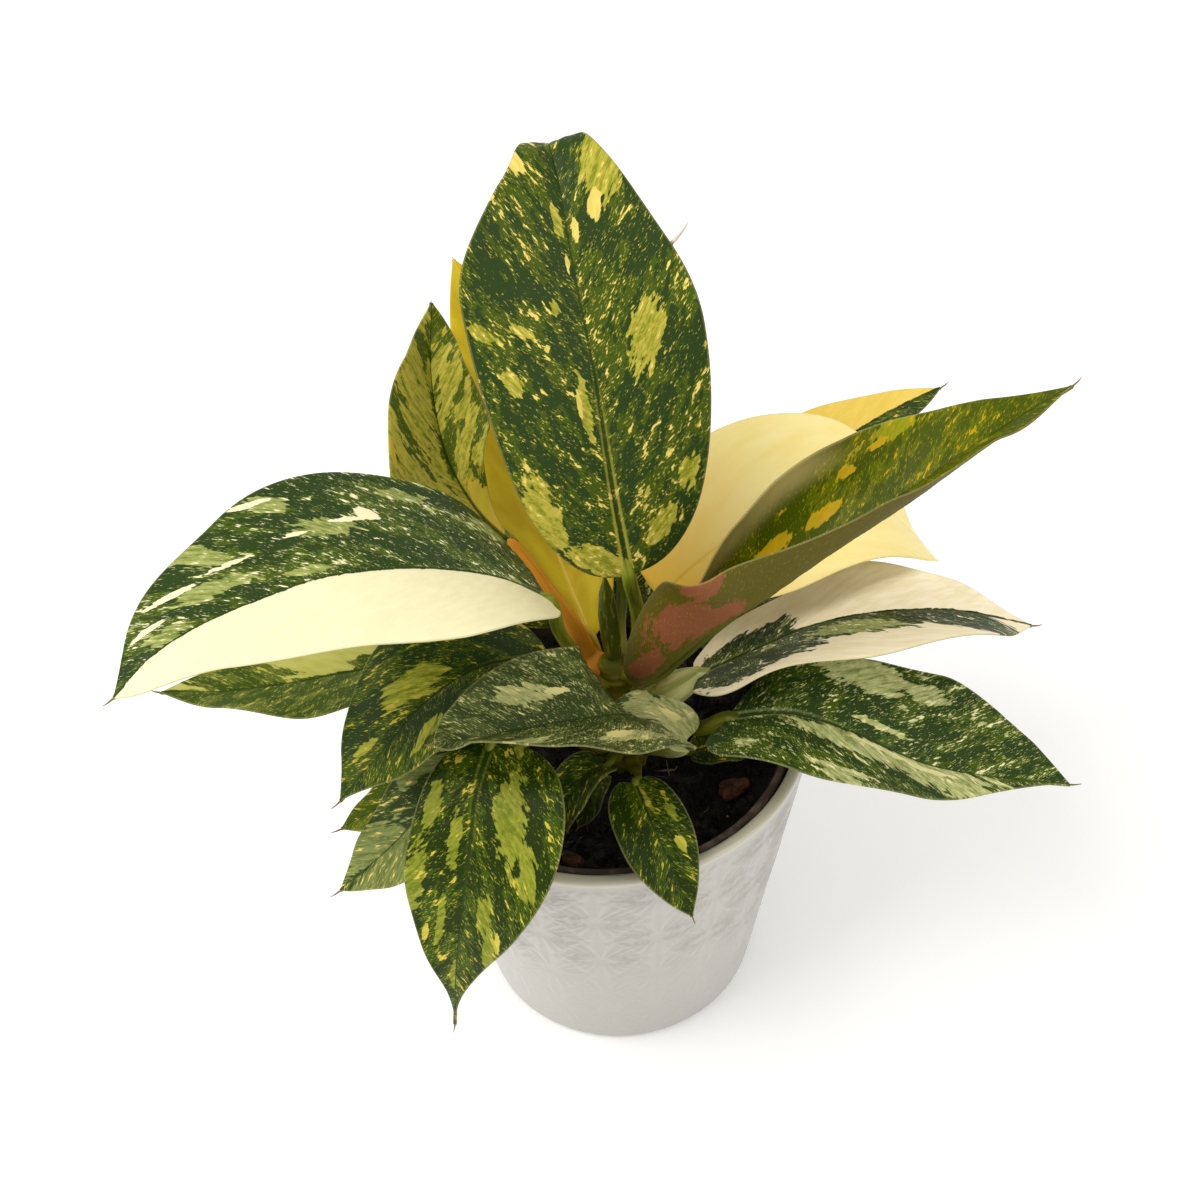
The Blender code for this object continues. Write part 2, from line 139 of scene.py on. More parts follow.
class Finish:
    """One material. add() makes any node: its type, its settings, and what goes into its
    sockets."""

    def __init__(self, name, **fixed):
        self.material = bpy.data.materials.new(name)
        self.material.use_nodes = True
        self.tree = self.material.node_tree
        self.shader = self.tree.nodes["Principled BSDF"]
        self.set(**fixed)

    def plug(self, socket, value):
        if isinstance(value, Wire):
            self.tree.links.new(value.socket, socket)
        else:
            socket.default_value = value

    def add(self, kind, settings, inputs, out=0):
        node = self.tree.nodes.new(kind)
        for key, value in settings.items():
            setattr(node, key, value)
        for key, value in inputs.items():
            self.plug(node.inputs[key], value)
        if isinstance(out, tuple):
            return [Wire(self, node.outputs[name]) for name in out]
        return Wire(self, node.outputs[out])

    def set(self, **values):
        for key, value in values.items():
            self.plug(self.shader.inputs[key.replace("_", " ")], value)

    def own(self, name):
        """A vector stored on the piece's own points."""
        return self.add("ShaderNodeAttribute", {"attribute_name": name}, {}, "Vector")

    def places(self):
        return self.add("ShaderNodeTexCoord", {}, {}, "Object")

    def split(self, vector):
        return self.add("ShaderNodeSeparateXYZ", {}, {"Vector": vector}, ("X", "Y", "Z"))

    def noise(self, where, sizes, seed=0, detail=2, rough=0.55):
        """Cloudy noise around 0.5 whose spots are about this size, or these sizes along the three
        axes of the vector."""
        shift = (seed * 7.3, seed * 3.1, seed * 5.7)
        scaled = self.add("ShaderNodeVectorMath", {"operation": "MULTIPLY_ADD"},
                          {0: where, 1: 1 / np.broadcast_to(sizes, 3), 2: shift})
        return self.add("ShaderNodeTexNoise", {},
                        {"Vector": scaled, "Scale": 1, "Detail": detail, "Roughness": rough})

    def mix(self, share, first, second):
        """The first colour turned into the second by this share. Plain ones are chart colours."""
        first, second = (c if isinstance(c, Wire) else paint(*c) for c in (first, second))
        return self.add("ShaderNodeMix", {"data_type": "RGBA"},
                        {"Factor": share, 6: first, 7: second}, 2)

    def bump(self, height, depth, strength=1):
        settings = {"Height": height, "Distance": depth, "Strength": strength}
        self.set(Normal=self.add("ShaderNodeBump", {}, settings, "Normal"))


def quads(rows, columns, ring=True):
    """Faces of a grid of points: each point joins the next in its row and the two above them. With
    ring, the last point of a row joins the first."""
    i = np.arange(rows - 1)[:, None]
    j = np.arange(columns if ring else columns - 1)[None, :]
    k = (j + 1) % columns
    row, next_row = i * columns, (i + 1) * columns
    corners = np.broadcast_arrays(row + j, row + k, next_row + k, next_row + j)
    return np.stack(corners, -1).reshape(-1, 4)


def piece(name, points, faces, finishes, marks=None, which=None):
    """An object from points in millimetres. Marks are vectors kept on its points for its finish."""
    mesh = bpy.data.meshes.new(name)
    mesh.from_pydata((np.asarray(points) * MM).tolist(), [], faces)
    mesh.shade_smooth()
    for key, values in (marks or {}).items():
        stored = mesh.attributes.new(key, "FLOAT_VECTOR", "POINT")
        stored.data.foreach_set("vector", np.asarray(values, np.float32).ravel())
    for finish in finishes:
        mesh.materials.append(finish.material)
    if which is not None:
        mesh.polygons.foreach_set("material_index", which)
    obj = bpy.data.objects.new(name, mesh)
    bpy.context.scene.collection.objects.link(obj)
    return obj


floor_finish = Finish("card", Roughness=0.9, Emission_Color=(1, 1, 1, 1), Emission_Strength=0.1)
card = floor_finish.noise(floor_finish.places(), 0.3)
floor_finish.set(Base_Color=floor_finish.mix(card, (247, 247, 246), (251, 251, 251)))
FLOOR_REACH, FLOOR_LINES = 2500, 41
lines = np.linspace(-FLOOR_REACH, FLOOR_REACH, FLOOR_LINES)
sweep = np.dstack([*np.meshgrid(lines, lines), np.zeros((FLOOR_LINES, FLOOR_LINES))])
floor = piece("floor", sweep.reshape(-1, 3), quads(FLOOR_LINES, FLOOR_LINES, ring=False).tolist(),
              [floor_finish])
floor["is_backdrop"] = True

# Cover pot. A slip-cast stoneware pot, straight and tapered, white glazed inside and out. Its rim
# is plain and rounded, and its wall carries staggered rows of low rayed rosettes.
POT_H, POT_RIM_R, POT_FOOT_R = 120.0, 67.0, 48.0
POT_WALL, POT_FLOOR, POT_LIP = 4.0, 6.0, 1.5
FOOT_BEND, FOOT_STEP, INNER_BEND = 4.0, 0.6, (1.2, 3.0)
ROSETTES, ROSETTE_GAP, ROW_GAP, RAYS = 10, 36.0, 14.0, 22
RELIEF, RIM_GLOW_DROP = 0.52, 2.5


def ease(x, low=0.0, high=1.0):
    """0 below low, 1 above high, and the S-curve 3x^2 - 2x^3 between."""
    x = np.clip((x - low) / (high - low), 0, 1)
    return x * x * (3 - 2 * x)


def rosettes(turn, z):
    """Height of the relief, 0 to 1. The wall is a lattice of centres in two staggered sets. Each
    point takes its nearest centre, and its height follows the cosine of RAYS times its bearing from
    there, faded out at the centre and at the border of the cell."""
    found = []
    for shift in (0, 0.5):
        x = turn / (2 * np.pi) * ROSETTES + shift
        x = (x - np.round(x)) * ROSETTE_GAP
        y = z / ROW_GAP / 2 + shift
        y = (y - np.round(y)) * ROW_GAP * 2
        found.append((np.hypot(x, y), np.arctan2(1.5 * y, x)))
    (near, bearing), (far, other) = found
    bearing = np.where(near < far, bearing, other)
    first, second = np.minimum(near, far), np.maximum(near, far)
    rays = 0.5 + 0.5 * np.cos(RAYS * bearing)
    return rays * ease(first, 0.5, 5.0) * ease(second - first, 0.0, 2.5)


def full_turn(count):
    """Angles of evenly spaced spokes round a circle, in one row."""
    return np.linspace(0, 2 * np.pi, count, endpoint=False)[None]


def circles(r, turn, z, x=0, y=0):
    """Rings of points: x + r cos(turn), y + r sin(turn) and z, one ring to a row."""
    return np.stack(np.broadcast_arrays(x + r * np.cos(turn), y + r * np.sin(turn), z), -1)


def skin(rings):
    """Points and faces of one closed skin: quads between rings, and each end ring drawn in to its
    own middle. Its faces are turned outwards by the sign of the volume they enclose."""
    rows, columns = rings.shape[:2]
    points = np.concatenate([rings.reshape(-1, rings.shape[2]), rings[[0, -1]].mean(1)])
    j = np.arange(columns)
    k = (j + 1) % columns
    start, end = np.full(columns, rows * columns), np.full(columns, rows * columns + 1)
    last = (rows - 1) * columns
    fans = np.concatenate([np.stack([k, j, start], 1), np.stack([last + j, last + k, end], 1)])
    sides = quads(rows, columns)
    p = points[:, :3] - points[0, :3]
    volume = sum(np.einsum("ij,ij->", np.cross(p[a], p[b]), p[c]) for a, b, c in (
        sides[:, :3].T, sides[:, [0, 2, 3]].T, fans.T))
    if volume < 0:
        sides, fans = sides[:, ::-1], fans[:, ::-1]
    return points, sides.tolist() + fans.tolist()


foot_out = POT_FOOT_R + (POT_RIM_R - POT_FOOT_R) * POT_FLOOR / POT_H
foot_in = foot_out - POT_WALL
under_foot, on_floor = (12, 28, 40), (foot_in - 2, 30, 12)
wall_foot, lip_z, in_r = POT_FOOT_R + FOOT_STEP, POT_H - POT_LIP, POT_RIM_R - POT_WALL
bend = np.linspace(0, np.pi / 2, 6)
lip = np.linspace(0, np.pi, 11)
climb = np.linspace(0, 1, 133)[1:] ** 0.85
drop = np.linspace(0, 1, 7)[1:]
profile = np.concatenate([
    np.c_[under_foot, [0] * 3],
    np.c_[POT_FOOT_R - FOOT_BEND + (FOOT_BEND + FOOT_STEP) * np.sin(bend),
          FOOT_BEND * (1 - np.cos(bend))],
    np.c_[wall_foot + (POT_RIM_R - wall_foot) * climb, FOOT_BEND + (lip_z - FOOT_BEND) * climb],
    np.c_[POT_RIM_R + POT_WALL / 2 * (np.cos(lip) - 1), lip_z + POT_LIP * np.sin(lip)][1:],
    np.c_[in_r + (foot_in + INNER_BEND[0] - in_r) * drop,
          lip_z + (POT_FLOOR + INNER_BEND[1] - lip_z) * drop],
    np.c_[on_floor, [POT_FLOOR] * 3]])
turn = full_turn(600)
r, z = profile[:, :1], profile[:, 1:]
outside = (np.arange(len(profile)) < len(under_foot) + len(bend) + len(climb))[:, None]
fade = (0.3 * ease(z, 5, 11) + 0.7 * ease(z, 35, 75)) * (1 - ease(z, POT_H - 7, POT_H - 5))
raised = outside * rosettes(turn + 0.12, z + 4) * fade
r = r + RELIEF * raised
points, faces = skin(np.dstack([circles(r, turn, z), raised, raised, raised]))

glaze = Finish("white_glaze", Coat_Weight=0.25, Coat_Roughness=0.08)
where = glaze.places()
cloud = glaze.noise(where, (0.05, 0.05, 0.03), 3)
speck = glaze.noise(where, 0.0012, 5, 1).over(0.76, 0.03)
ridge = glaze.split(glaze.own("relief"))[0]
body = glaze.mix(cloud, (166, 164, 158), (177, 174, 168))
# The glaze is mixed a little darker away from the tops of the relief: painted shade in its hollows.
body = glaze.mix((1 - ridge) * 0.12, body, (150, 148, 142))
# The top of the rim is mixed towards beige: painted light, the glow that the leaves above throw on
# it.
rim_glow = glaze.split(where)[2].over((POT_H - RIM_GLOW_DROP) * MM, 0.001)
body = glaze.mix(rim_glow * 0.7, body, (196, 188, 164))
glaze.set(Base_Color=glaze.mix(speck * 0.25, body, (176, 170, 160)), Roughness=cloud * 0.2 + 0.22)
glaze.bump(glaze.noise(where, 0.004, 8), 0.0002, 0.4)
pot = piece("glazed_pot", points[:, :3], faces, [glaze], {"relief": points[:, 3:]})
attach(pot, "root")
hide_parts("cover_pot")

# Nursery pot. Thin brown polypropylene, injection moulded, with a rolled rim: only the rim shows,
# just inside the cover pot. Its plastic is satin, scuffed paler along the rim.
LINER_RIM_Z = 116.5
plastic = Finish("brown_plastic")
where = plastic.places()
scuff = plastic.noise(where, (0.006, 0.006, 0.0008), 2, 4).over(0.58, 0.1)
high = plastic.split(where)[2].over(LINER_RIM_Z * MM, 0.0006)
plastic.set(Base_Color=plastic.mix(scuff * (high * 0.5 + 0.2), (66, 51, 45), (118, 100, 90)),
            Roughness=scuff * 0.25 + 0.38)
plastic.bump(plastic.noise(where, 0.0007, 4), 0.00005)
liner_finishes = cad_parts["nursery_pot"].data.materials
liner_finishes.clear()
liner_finishes.append(plastic.material)

# Soil. Dark, damp peat with fine crumbs, a few pale grains and loose root fibres on top. It fills
# the nursery pot to a finger's width under its rim.
SOIL_Z, SOIL_R, SOIL_FOOT_R, SOIL_FOOT_Z = 103.0, 58.2, 40.0, 7.9
CRUMBS, GRAINS, FIBRES = 1500, 40, 46
LUMP_CELLS, LUMP_START = 97, 400


def lumps(x, y, size, seed):
    """Smooth random heights from -1 to 1: seeded values at even spacing, eased between the four
    round each point."""
    table = np.random.default_rng(seed).uniform(-1, 1, (LUMP_CELLS, LUMP_CELLS))
    x, y = np.asarray(x) / size + LUMP_START, np.asarray(y) / size + LUMP_START
    i, j = np.floor(x).astype(int), np.floor(y).astype(int)
    f, g = ease(x - i), ease(y - j)
    a, b, c, d = (table[(i + right) % LUMP_CELLS, (j + up) % LUMP_CELLS]
                  for right, up in ((0, 0), (1, 0), (0, 1), (1, 1)))
    return (a * (1 - f) + b * f) * (1 - g) + (c * (1 - f) + d * f) * g


def soil_top(x, y):
    """Height of the soil: low mounds, then lumps of 5 mm and crumbs of 1 to 2 mm."""
    mounds = 0.7 * np.sin(x * 0.21 + 1.0) * np.cos(y * 0.17) + 0.5 * np.sin(x * 0.09 - y * 0.33)
    return (SOIL_Z + mounds + 0.8 * lumps(x, y, 5.0, 1) + 0.7 * lumps(x, y, 2.2, 2)
            + 0.45 * lumps(x, y, 1.1, 3))


turn = full_turn(260)
bed = circles(np.linspace(1, SOIL_R, 74)[::-1, None], turn, 0)
bed[..., 2] = soil_top(bed[..., 0], bed[..., 1])
side_r = np.array([[10], [SOIL_FOOT_R], [SOIL_R]])
side_z = np.array([[SOIL_FOOT_Z], [SOIL_FOOT_Z], [SOIL_Z - 4]])
points, faces = skin(np.concatenate([circles(side_r, turn, side_z), bed]))

peat = Finish("damp_peat")
where = peat.places()
patchy = peat.noise(where, 0.006, 1, 3)
grit = peat.noise(where, 0.0009, 2, 3)
earth = peat.mix(patchy.over(0.5, 0.12), (7, 5, 4), (20, 14, 10))
peat.set(Base_Color=peat.mix(grit.over(0.66, 0.05) * 0.6, earth, (70, 52, 40)),
         Roughness=1 - patchy.over(0.56, 0.08) * 0.35)
peat.bump(grit, 0.0006)
soil = piece("peat", points, faces, [peat])
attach(soil, "root")
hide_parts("soil")

GOLDEN = (1 + 5 ** 0.5) / 2
CRUMB = np.array([np.roll((short, long * GOLDEN, 0), turns) for turns in range(3)
                  for long in (1, -1) for short in (-1, 1)]) / 1.9
# Its faces are the triples of corners that are all neighbours, turned outwards.
triples = np.array(list(combinations(range(len(CRUMB)), 3)))
edges = np.linalg.norm(CRUMB[triples] - CRUMB[np.roll(triples, 1, 1)], axis=2)
CRUMB_FACES = triples[edges.max(1) < 1.1]
inward = np.linalg.det(CRUMB[CRUMB_FACES]) < 0
CRUMB_FACES[inward] = CRUMB_FACES[inward, ::-1]


def scattered(name, count, low, high, seed, finish):
    """Many rough grains lying on the soil: twenty-sided lumps, each squashed, jogged and turned at
    random by a seeded generator and sunk a third into the bed."""
    rng = np.random.default_rng(seed)
    size = low + (high - low) * rng.random((count, 1, 1)) ** 2.5
    stretch = size * rng.uniform(0.6, 1.2, (count, 1, 3))
    turned = np.linalg.qr(rng.normal(size=(count, 3, 3)))[0]
    turned *= np.sign(np.linalg.det(turned))[:, None, None]
    reach = (SOIL_R - 3) * np.sqrt(rng.uniform(0.01, 1, count))
    turn = rng.uniform(0, 2 * np.pi, count)
    x, y = reach * np.cos(turn), reach * np.sin(turn)
    centre = np.stack([x, y, soil_top(x, y) + size[:, 0, 0] * 0.25], 1)[:, None, :]
    grains = (CRUMB + rng.uniform(-0.22, 0.22, (count, 12, 3))) * stretch @ turned + centre
    faces = (CRUMB_FACES[None] + 12 * np.arange(count)[:, None, None]).reshape(-1, 3)
    made = piece(name, grains.reshape(-1, 3), faces.tolist(), [finish])
    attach(made, "root")


pale_grain = Finish("pale_grain", Roughness=0.85)
chalk = pale_grain.noise(pale_grain.places(), 0.001, 3)
pale_grain.set(Base_Color=pale_grain.mix(chalk, (120, 110, 96), (190, 182, 166)))
pale_grain.bump(chalk, 0.0002)
scattered("peat_crumbs", CRUMBS, 0.5, 2.0, 11, peat)
scattered("pale_grains", GRAINS, 0.3, 0.8, 12, pale_grain)


def tubes(paths, radii):
    """Six-sided threads along many paths: at each station a ring stands across the way the path
    runs there, with its first spoke level. Returns the points and faces of them all."""
    ahead = np.gradient(paths, axis=1)
    ahead /= np.linalg.norm(ahead, axis=2, keepdims=True)
    across = np.cross(ahead, [0, 0, 1.0])
    across /= np.linalg.norm(across, axis=2, keepdims=True) + 1e-9
    over = np.cross(across, ahead)
    spoke = full_turn(6)[None, ..., None]
    rings = paths[:, :, None] + radii[..., None, None] * (
        np.cos(spoke) * across[:, :, None] + np.sin(spoke) * over[:, :, None])
    one = skin(rings[0])[1]
    made = [skin(ring)[0] for ring in rings]
    size = len(made[0])
    faces = [[v + size * n for v in face] for n in range(len(paths)) for face in one]
    return np.concatenate(made), faces


rng = np.random.default_rng(21)
run = np.linspace(-1, 1, 9)
each = (FIBRES, 1)
reach, turn = (SOIL_R - 8) * np.sqrt(rng.random(each)), rng.uniform(0, 2 * np.pi, each)
way, long = rng.uniform(0, 2 * np.pi, each), rng.uniform(2, 7, each)
onward, aside = long * run, long * rng.uniform(-0.5, 0.5, each) * run ** 2
x = reach * np.cos(turn) + onward * np.cos(way) - aside * np.sin(way)
y = reach * np.sin(turn) + onward * np.sin(way) + aside * np.cos(way)
z = soil_top(x, y) + 0.35 + rng.uniform(0, 0.9, each) * (1 - run ** 2)
thick = rng.uniform(0.13, 0.3, each) * (1 - 0.5 * run ** 2)
points, faces = tubes(np.stack([x, y, z], -1), thick)
root_fibre = Finish("root_fibre", Roughness=0.8)
strand = root_fibre.noise(root_fibre.places(), 0.012, 6).over(0.5, 0.1)
root_fibre.set(Base_Color=root_fibre.mix(strand, (72, 54, 42), (150, 130, 104)))
fibres = piece("root_fibres", points, faces, [root_fibre])
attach(fibres, "root")

# Bark. Four chips of red-brown orchid bark lie on the soil, each broken along its layers, with a
# flat underside and a split, flaking back.
bark_finish = Finish("red_bark", Roughness=0.9)
where = bark_finish.places()
layer = bark_finish.noise(where, (0.004, 0.004, 0.0009), 1, 4)
flake = bark_finish.noise(where, (0.0016, 0.0016, 0.0008), 2, 4)
chip_brown = bark_finish.mix(layer.over(0.5, 0.12), (44, 24, 14), (92, 50, 28))
bark_finish.set(
    Base_Color=bark_finish.mix(flake.over(0.6, 0.06) * 0.6, chip_brown, (128, 80, 48)))
bark_finish.bump(layer + flake * 0.5, 0.0012)
spoke = full_turn(72)
for n, (name, (cx, cy, long, short, turned)) in enumerate({
        "bark_chip_a": (40, -22, 11, 7, 25), "bark_chip_b": (-14, -46, 9, 5, -40),
        "bark_chip_c": (26, 34, 10, 7, 70), "bark_chip_d": (-38, 20, 8, 6, 10)}.items()):
    # Rings climb from a broken foot over the shoulder to the back, each a jagged oval.
    low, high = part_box(name)
    rise = np.linspace(0, 1, 26)[:, None]
    girth = (1 - (2 * rise - 0.9).clip(0, 1.1) ** 3 * 0.72) * (0.86 + 0.14 * ease(rise, 0, 0.2))
    jag = (1 + 0.12 * np.sin(3 * spoke + cx) + 0.06 * np.sin(7 * spoke + n)
           + 0.05 * lumps(spoke * 9, rise * 14, 1.3, 30 + n))
    a = np.radians(turned)
    x, y = long / 2 * np.cos(spoke) * girth * jag, short / 2 * np.sin(spoke) * girth * jag
    z = (low.z + (high.z - low.z) * rise ** 0.8 * (1 + 0.1 * lumps(x, y, 1.6, 40 + n))) / MM
    chip = np.stack([cx + x * np.cos(a) - y * np.sin(a), cy + x * np.sin(a) + y * np.cos(a), z], -1)
    points, faces = skin(chip)
    made = piece(name + "_rough", points, faces, [bark_finish])
    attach(made, "root")
    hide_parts(name)

# Stem. Short, thick and green, ringed by the scars of old leaves and hidden among the leaf bases.
# It is rooted in the soil.
STEM_FOOT, STEM_TOP = np.array([7.0, -5.0, 90.0]), np.array([4.0, 2.0, 146.0])
STEM_R, SCARS, SCAR_RISE = (8.0, 5.0), 7, 0.35


def stem_at(height):
    """The stem's centre and radius at a height: both run evenly from its foot to its top."""
    f = (height - STEM_FOOT[2]) / (STEM_TOP[2] - STEM_FOOT[2])
    return STEM_FOOT * (1 - f) + STEM_TOP * f, STEM_R[0] * (1 - f) + STEM_R[1] * f


f = np.linspace(0, 1, 90)[:, None]
spoke = full_turn(48)
heights = STEM_FOOT[2] * (1 - f) + STEM_TOP[2] * f
middle, girth = stem_at(heights)
shoulder = ease(f, 0.96, 1.0)
scars = np.cos(2 * np.pi * (SCARS * f + 0.12 * np.sin(spoke))) ** 3
girth = girth * (1 - 0.75 * shoulder) + SCAR_RISE * scars + 0.25 * lumps(spoke * 6, f * 50, 3, 50)
points, faces = skin(circles(girth, spoke, heights + 1.2 * shoulder, middle[:, :1], middle[:, 1:2]))
stem_skin = Finish("stem_skin", Roughness=0.5, Specular_IOR_Level=0.15)
where = stem_skin.places()
scar = stem_skin.noise(where, (0.02, 0.02, 0.0025), 2, 3)
stem_green = stem_skin.mix(scar.over(0.5, 0.1), (86, 84, 14), (128, 116, 26))
stem_skin.set(Base_Color=stem_skin.mix(scar.over(0.64, 0.03), stem_green, (92, 66, 24)))
stem_skin.bump(scar, 0.0008)
stem = piece("stem_ringed", points, faces, [stem_skin])
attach(stem, "root")
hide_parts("stem")

# Leaves. Each is a fleshy stalk, grooved on top and spread at its foot where it clasps the stem,
# which runs on as the midrib under a thin folded blade and ends in a dry thread. The dark blade is
# splashed with sage, lime and cream along its side veins.
EDGE_THICK, RIB_THICK, MARGIN_BEAD = 0.55, 1.0, 0.26
WAVES, VEIN_GAP, VEIN_RIPPLE = 2.5, 6.5, 0.13
GROOVE_DEEP, GROOVE_HALF = 0.22, 0.8
CLASP, CLASP_RUN, CLASP_RISE, ROOTED = 1.0, 4.0, 0.8, 2.5
STALK_SIDES, CHANNEL_DEEP, CHANNEL_HALF = 20, 0.2, 0.55
THREAD_R, THREAD_LONG, THREAD_STEPS = 0.32, 3.5, 8


def unit(v):
    """Each vector over its own length."""
    return v / np.linalg.norm(v, axis=-1, keepdims=True)


def smooth_path(points, at):
    """A centripetal Catmull-Rom curve through the points: its points at these fractions of its
    length, and its length."""
    p = np.array(points, float)
    p = np.vstack([2 * p[0] - p[1], p, 2 * p[-1] - p[-2]])
    spans = []
    for i in range(1, len(p) - 2):
        a, b, c, d = p[i - 1:i + 3]
        knots = np.cumsum([0] + [np.linalg.norm(e) ** 0.5 for e in (b - a, c - b, d - c)])
        t = np.linspace(knots[1], knots[2], 60, endpoint=False)[:, None]
        ab, bc, cd = ((q * (knots[k + 1] - t) + r * (t - knots[k])) / (knots[k + 1] - knots[k])
                      for k, (q, r) in enumerate(((a, b), (b, c), (c, d))))
        abc = (ab * (knots[2] - t) + bc * (t - knots[0])) / (knots[2] - knots[0])
        bcd = (bc * (knots[3] - t) + cd * (t - knots[1])) / (knots[3] - knots[1])
        spans.append((abc * (knots[2] - t) + bcd * (t - knots[1])) / (knots[2] - knots[1]))
    curve = np.vstack(spans + [p[-2][None]])
    run = np.r_[0, np.cumsum(np.linalg.norm(np.diff(curve, axis=0), axis=1))]
    read = np.asarray(at) * run[-1]
    return np.stack([np.interp(read, run, axis) for axis in curve.T], 1), run[-1]


def along(values, t):
    """A value eased between even stations from the base of the blade, t = 0, to its tip, t = 1."""
    v = np.atleast_1d(np.asarray(values, float))
    x = t * (len(v) - 1)
    k = np.clip(x.astype(int), 0, max(len(v) - 2, 0))
    return v[k] + (v[np.minimum(k + 1, len(v) - 1)] - v[k]) * ease(x - k)


def outline(t, belly, base, taper):
    """Half width, 0 to 1: a superellipse from the base to the belly, then 1 - x^1.9 to a power."""
    low, high = np.clip(1 - t / belly, 0, 1), np.clip((t - belly) / (1 - belly), 0, 1)
    return np.where(t < belly, (1 - low ** base) ** (1 / base), (1 - high ** 1.9) ** taper)


def midrib_line(spine, t, lead, roll):
    """Points of the midrib at t, and three unit vectors there: ahead, side and rise. Side starts as
    lead, is carried on without twist, and is then turned about the midrib by roll degrees."""
    before, mid, after = (smooth_path(spine, np.clip(t + step, 0, 1))[0]
                          for step in (-0.01, 0, 0.01))
    ahead = unit(after - before)
    side = np.array(list(accumulate(ahead, lambda s, d: unit(s - (s @ d) * d), initial=lead)))[1:]
    rise = np.cross(side, ahead)
    a = np.radians(along(roll, t))[:, None]
    return mid, ahead, side * np.cos(a) + rise * np.sin(a), rise * np.cos(a) - side * np.sin(a)


def splash_areas(t, across, lay, distance, cream_halves, *kinds):
    """How deep each point lies in a splash of each kind, from -1 outside to 1 at its middle: 1 less
    the root of (l / length)^2 + (d / breadth)^2, l along the side veins and d across the blade. A
    cream half rises to 0.8 a little way off the midrib."""
    half = (across > 0).astype(int)
    areas = np.full((*distance.shape, 3), -1.0)
    for k, splashes in enumerate(kinds):
        for at, at_u, length, breadth in splashes:
            here = np.argmin(np.abs(t - at)), np.argmin(np.abs(across - at_u))
            gap = np.hypot((lay - lay[here]) / length, (distance - distance[here]) / breadth)
            inside = np.where(half == int(at_u > 0), 1 - gap, -1).clip(-1, 1)
            areas[..., k] = np.maximum(areas[..., k], inside)
    for whole in cream_halves:
        inside = np.where(half == whole, np.clip(distance / 1.2 - 0.3, -1, 0.8), -1)
        areas[..., 1] = np.maximum(areas[..., 1], inside)
    return areas


def blade_skin(t, midrib, long, r, phase, width, belly=.45, base=2.2, taper=1, fold=10, curl=0,
               lobe=1, wave=1.2, tint=lambda t, u: 0, cream_halves=(), sage=(), cream=(), green=()):
    """The blade's two skins and its beaded margin. It is laid out on t, along the midrib, and u,
    across it from -1 to 1. Each half leaves the midrib at its fold angle f and turns through its
    curl c, so a point w u out lies at w (sin(f + c u) - sin f) / c to the side and
    w (cos f - cos(f + c u)) / c up. Its base lobes slide back, its margin waves, and its side veins
    ripple it. A pair of values is for its left and right halves, and one value is for both."""
    width, belly, base, taper, fold, curl, lobe = (
        v if isinstance(v, tuple) else (v, v)
        for v in (width, belly, base, taper, fold, curl, lobe))
    mid, ahead, side, rise = midrib
    u = np.r_[0.015, 0.05, np.linspace(0.1, 1, int(6 + max(width) * 0.45))]
    across = np.r_[-u[::-1], 0, u]
    half, sign, u = (across > 0).astype(int), np.where(across < 0, -1, 1), np.abs(across)
    w = np.stack([width[h] * outline(t, belly[h], base[h], taper[h]) for h in (0, 1)], 1)
    w = np.maximum(w, np.where(t < 0.1, r, 0.4)[:, None])[:, half]
    soft = np.clip(w / (5 * r), 0, 1)
    f, c = (np.radians(np.stack([along(angle[h], t) for h in (0, 1)], 1))[:, half] * soft
            for angle in (fold, curl))
    c = np.where(np.abs(c) < 1e-3, 1e-3, c)
    lean = f + c * u
    x, y = w * (np.sin(lean) - np.sin(f)) / c, w * (np.cos(f) - np.cos(lean)) / c

    t_row, distance = t[:, None], w * u
    share = distance / np.array(width)[half]
    back = -np.array(lobe)[half] * ease(share, 0, 0.4) * (1 - 0.5 * ease(share, 0.5, 1))
    back = back * (1 - ease(t_row, 0, 0.3))
    vein = t_row * long + back - distance * (0.9 + 0.8 * t_row)
    calm = ease(t_row, 0, 0.15) * (1 - ease(t_row, 0.8, 1)) * soft
    swell = 2 * np.pi * (WAVES * t_row + 0.37 * half + phase * 0.013)
    swing = wave * u ** 2.4 * np.sin(swell) * calm
    ripple = VEIN_RIPPLE * np.cos(2 * np.pi * vein / VEIN_GAP) * np.sin(np.pi * u ** 0.7) * calm
    groove = -GROOVE_DEEP * np.exp(-(x / GROOVE_HALF) ** 2) * calm

    aside, up = side[:, None] * sign[:, None], rise[:, None]
    sine, cosine = np.sin(lean)[..., None], np.cos(lean)[..., None]
    normal, outward = up * cosine - aside * sine, aside * cosine + up * sine
    sheet = (mid[:, None] + aside * x[..., None] + up * y[..., None]
             + ahead[:, None] * back[..., None] + normal * (swing + ripple + groove)[..., None])
    thick = (EDGE_THICK + (RIB_THICK - EDGE_THICK) * (1 - u) ** 2)[:, None]

    lay = t_row * long - 0.7 * distance
    areas = splash_areas(t, across, lay, distance, cream_halves, sage, cream, green)
    rib_half = 0.3 + 0.45 * r * (1 - t_row) ** 2
    # The tint: a pale tip of its own on the drip tip leaf, painted light on the cream and rolled
    # leaves.
    tint_and_light = 0 * w + tint(t_row, across)

    def marked(skin_points, under):
        """Points with their marks: the place on the blade, how near its margin and midrib and
        whether under it, the depth in each splash, and the tint, which on some leaves is
        painted light."""
        lie = np.stack([vein, sign * distance, t_row + 0 * w], -1)
        trim = np.stack([w - distance, np.abs(x) / rib_half, np.full_like(w, under)], -1)
        return np.concatenate([skin_points, lie, trim, areas, tint_and_light[..., None] * (1, 0, 0)], -1)

    top, bottom = marked(sheet + normal * thick / 2, 0), marked(sheet - normal * thick / 2, 1)
    bead = marked(sheet + outward * MARGIN_BEAD, 0.5)
    return skin(np.concatenate([bead[:, :1], top, bead[:, -1:], bottom[:, ::-1]], 1))


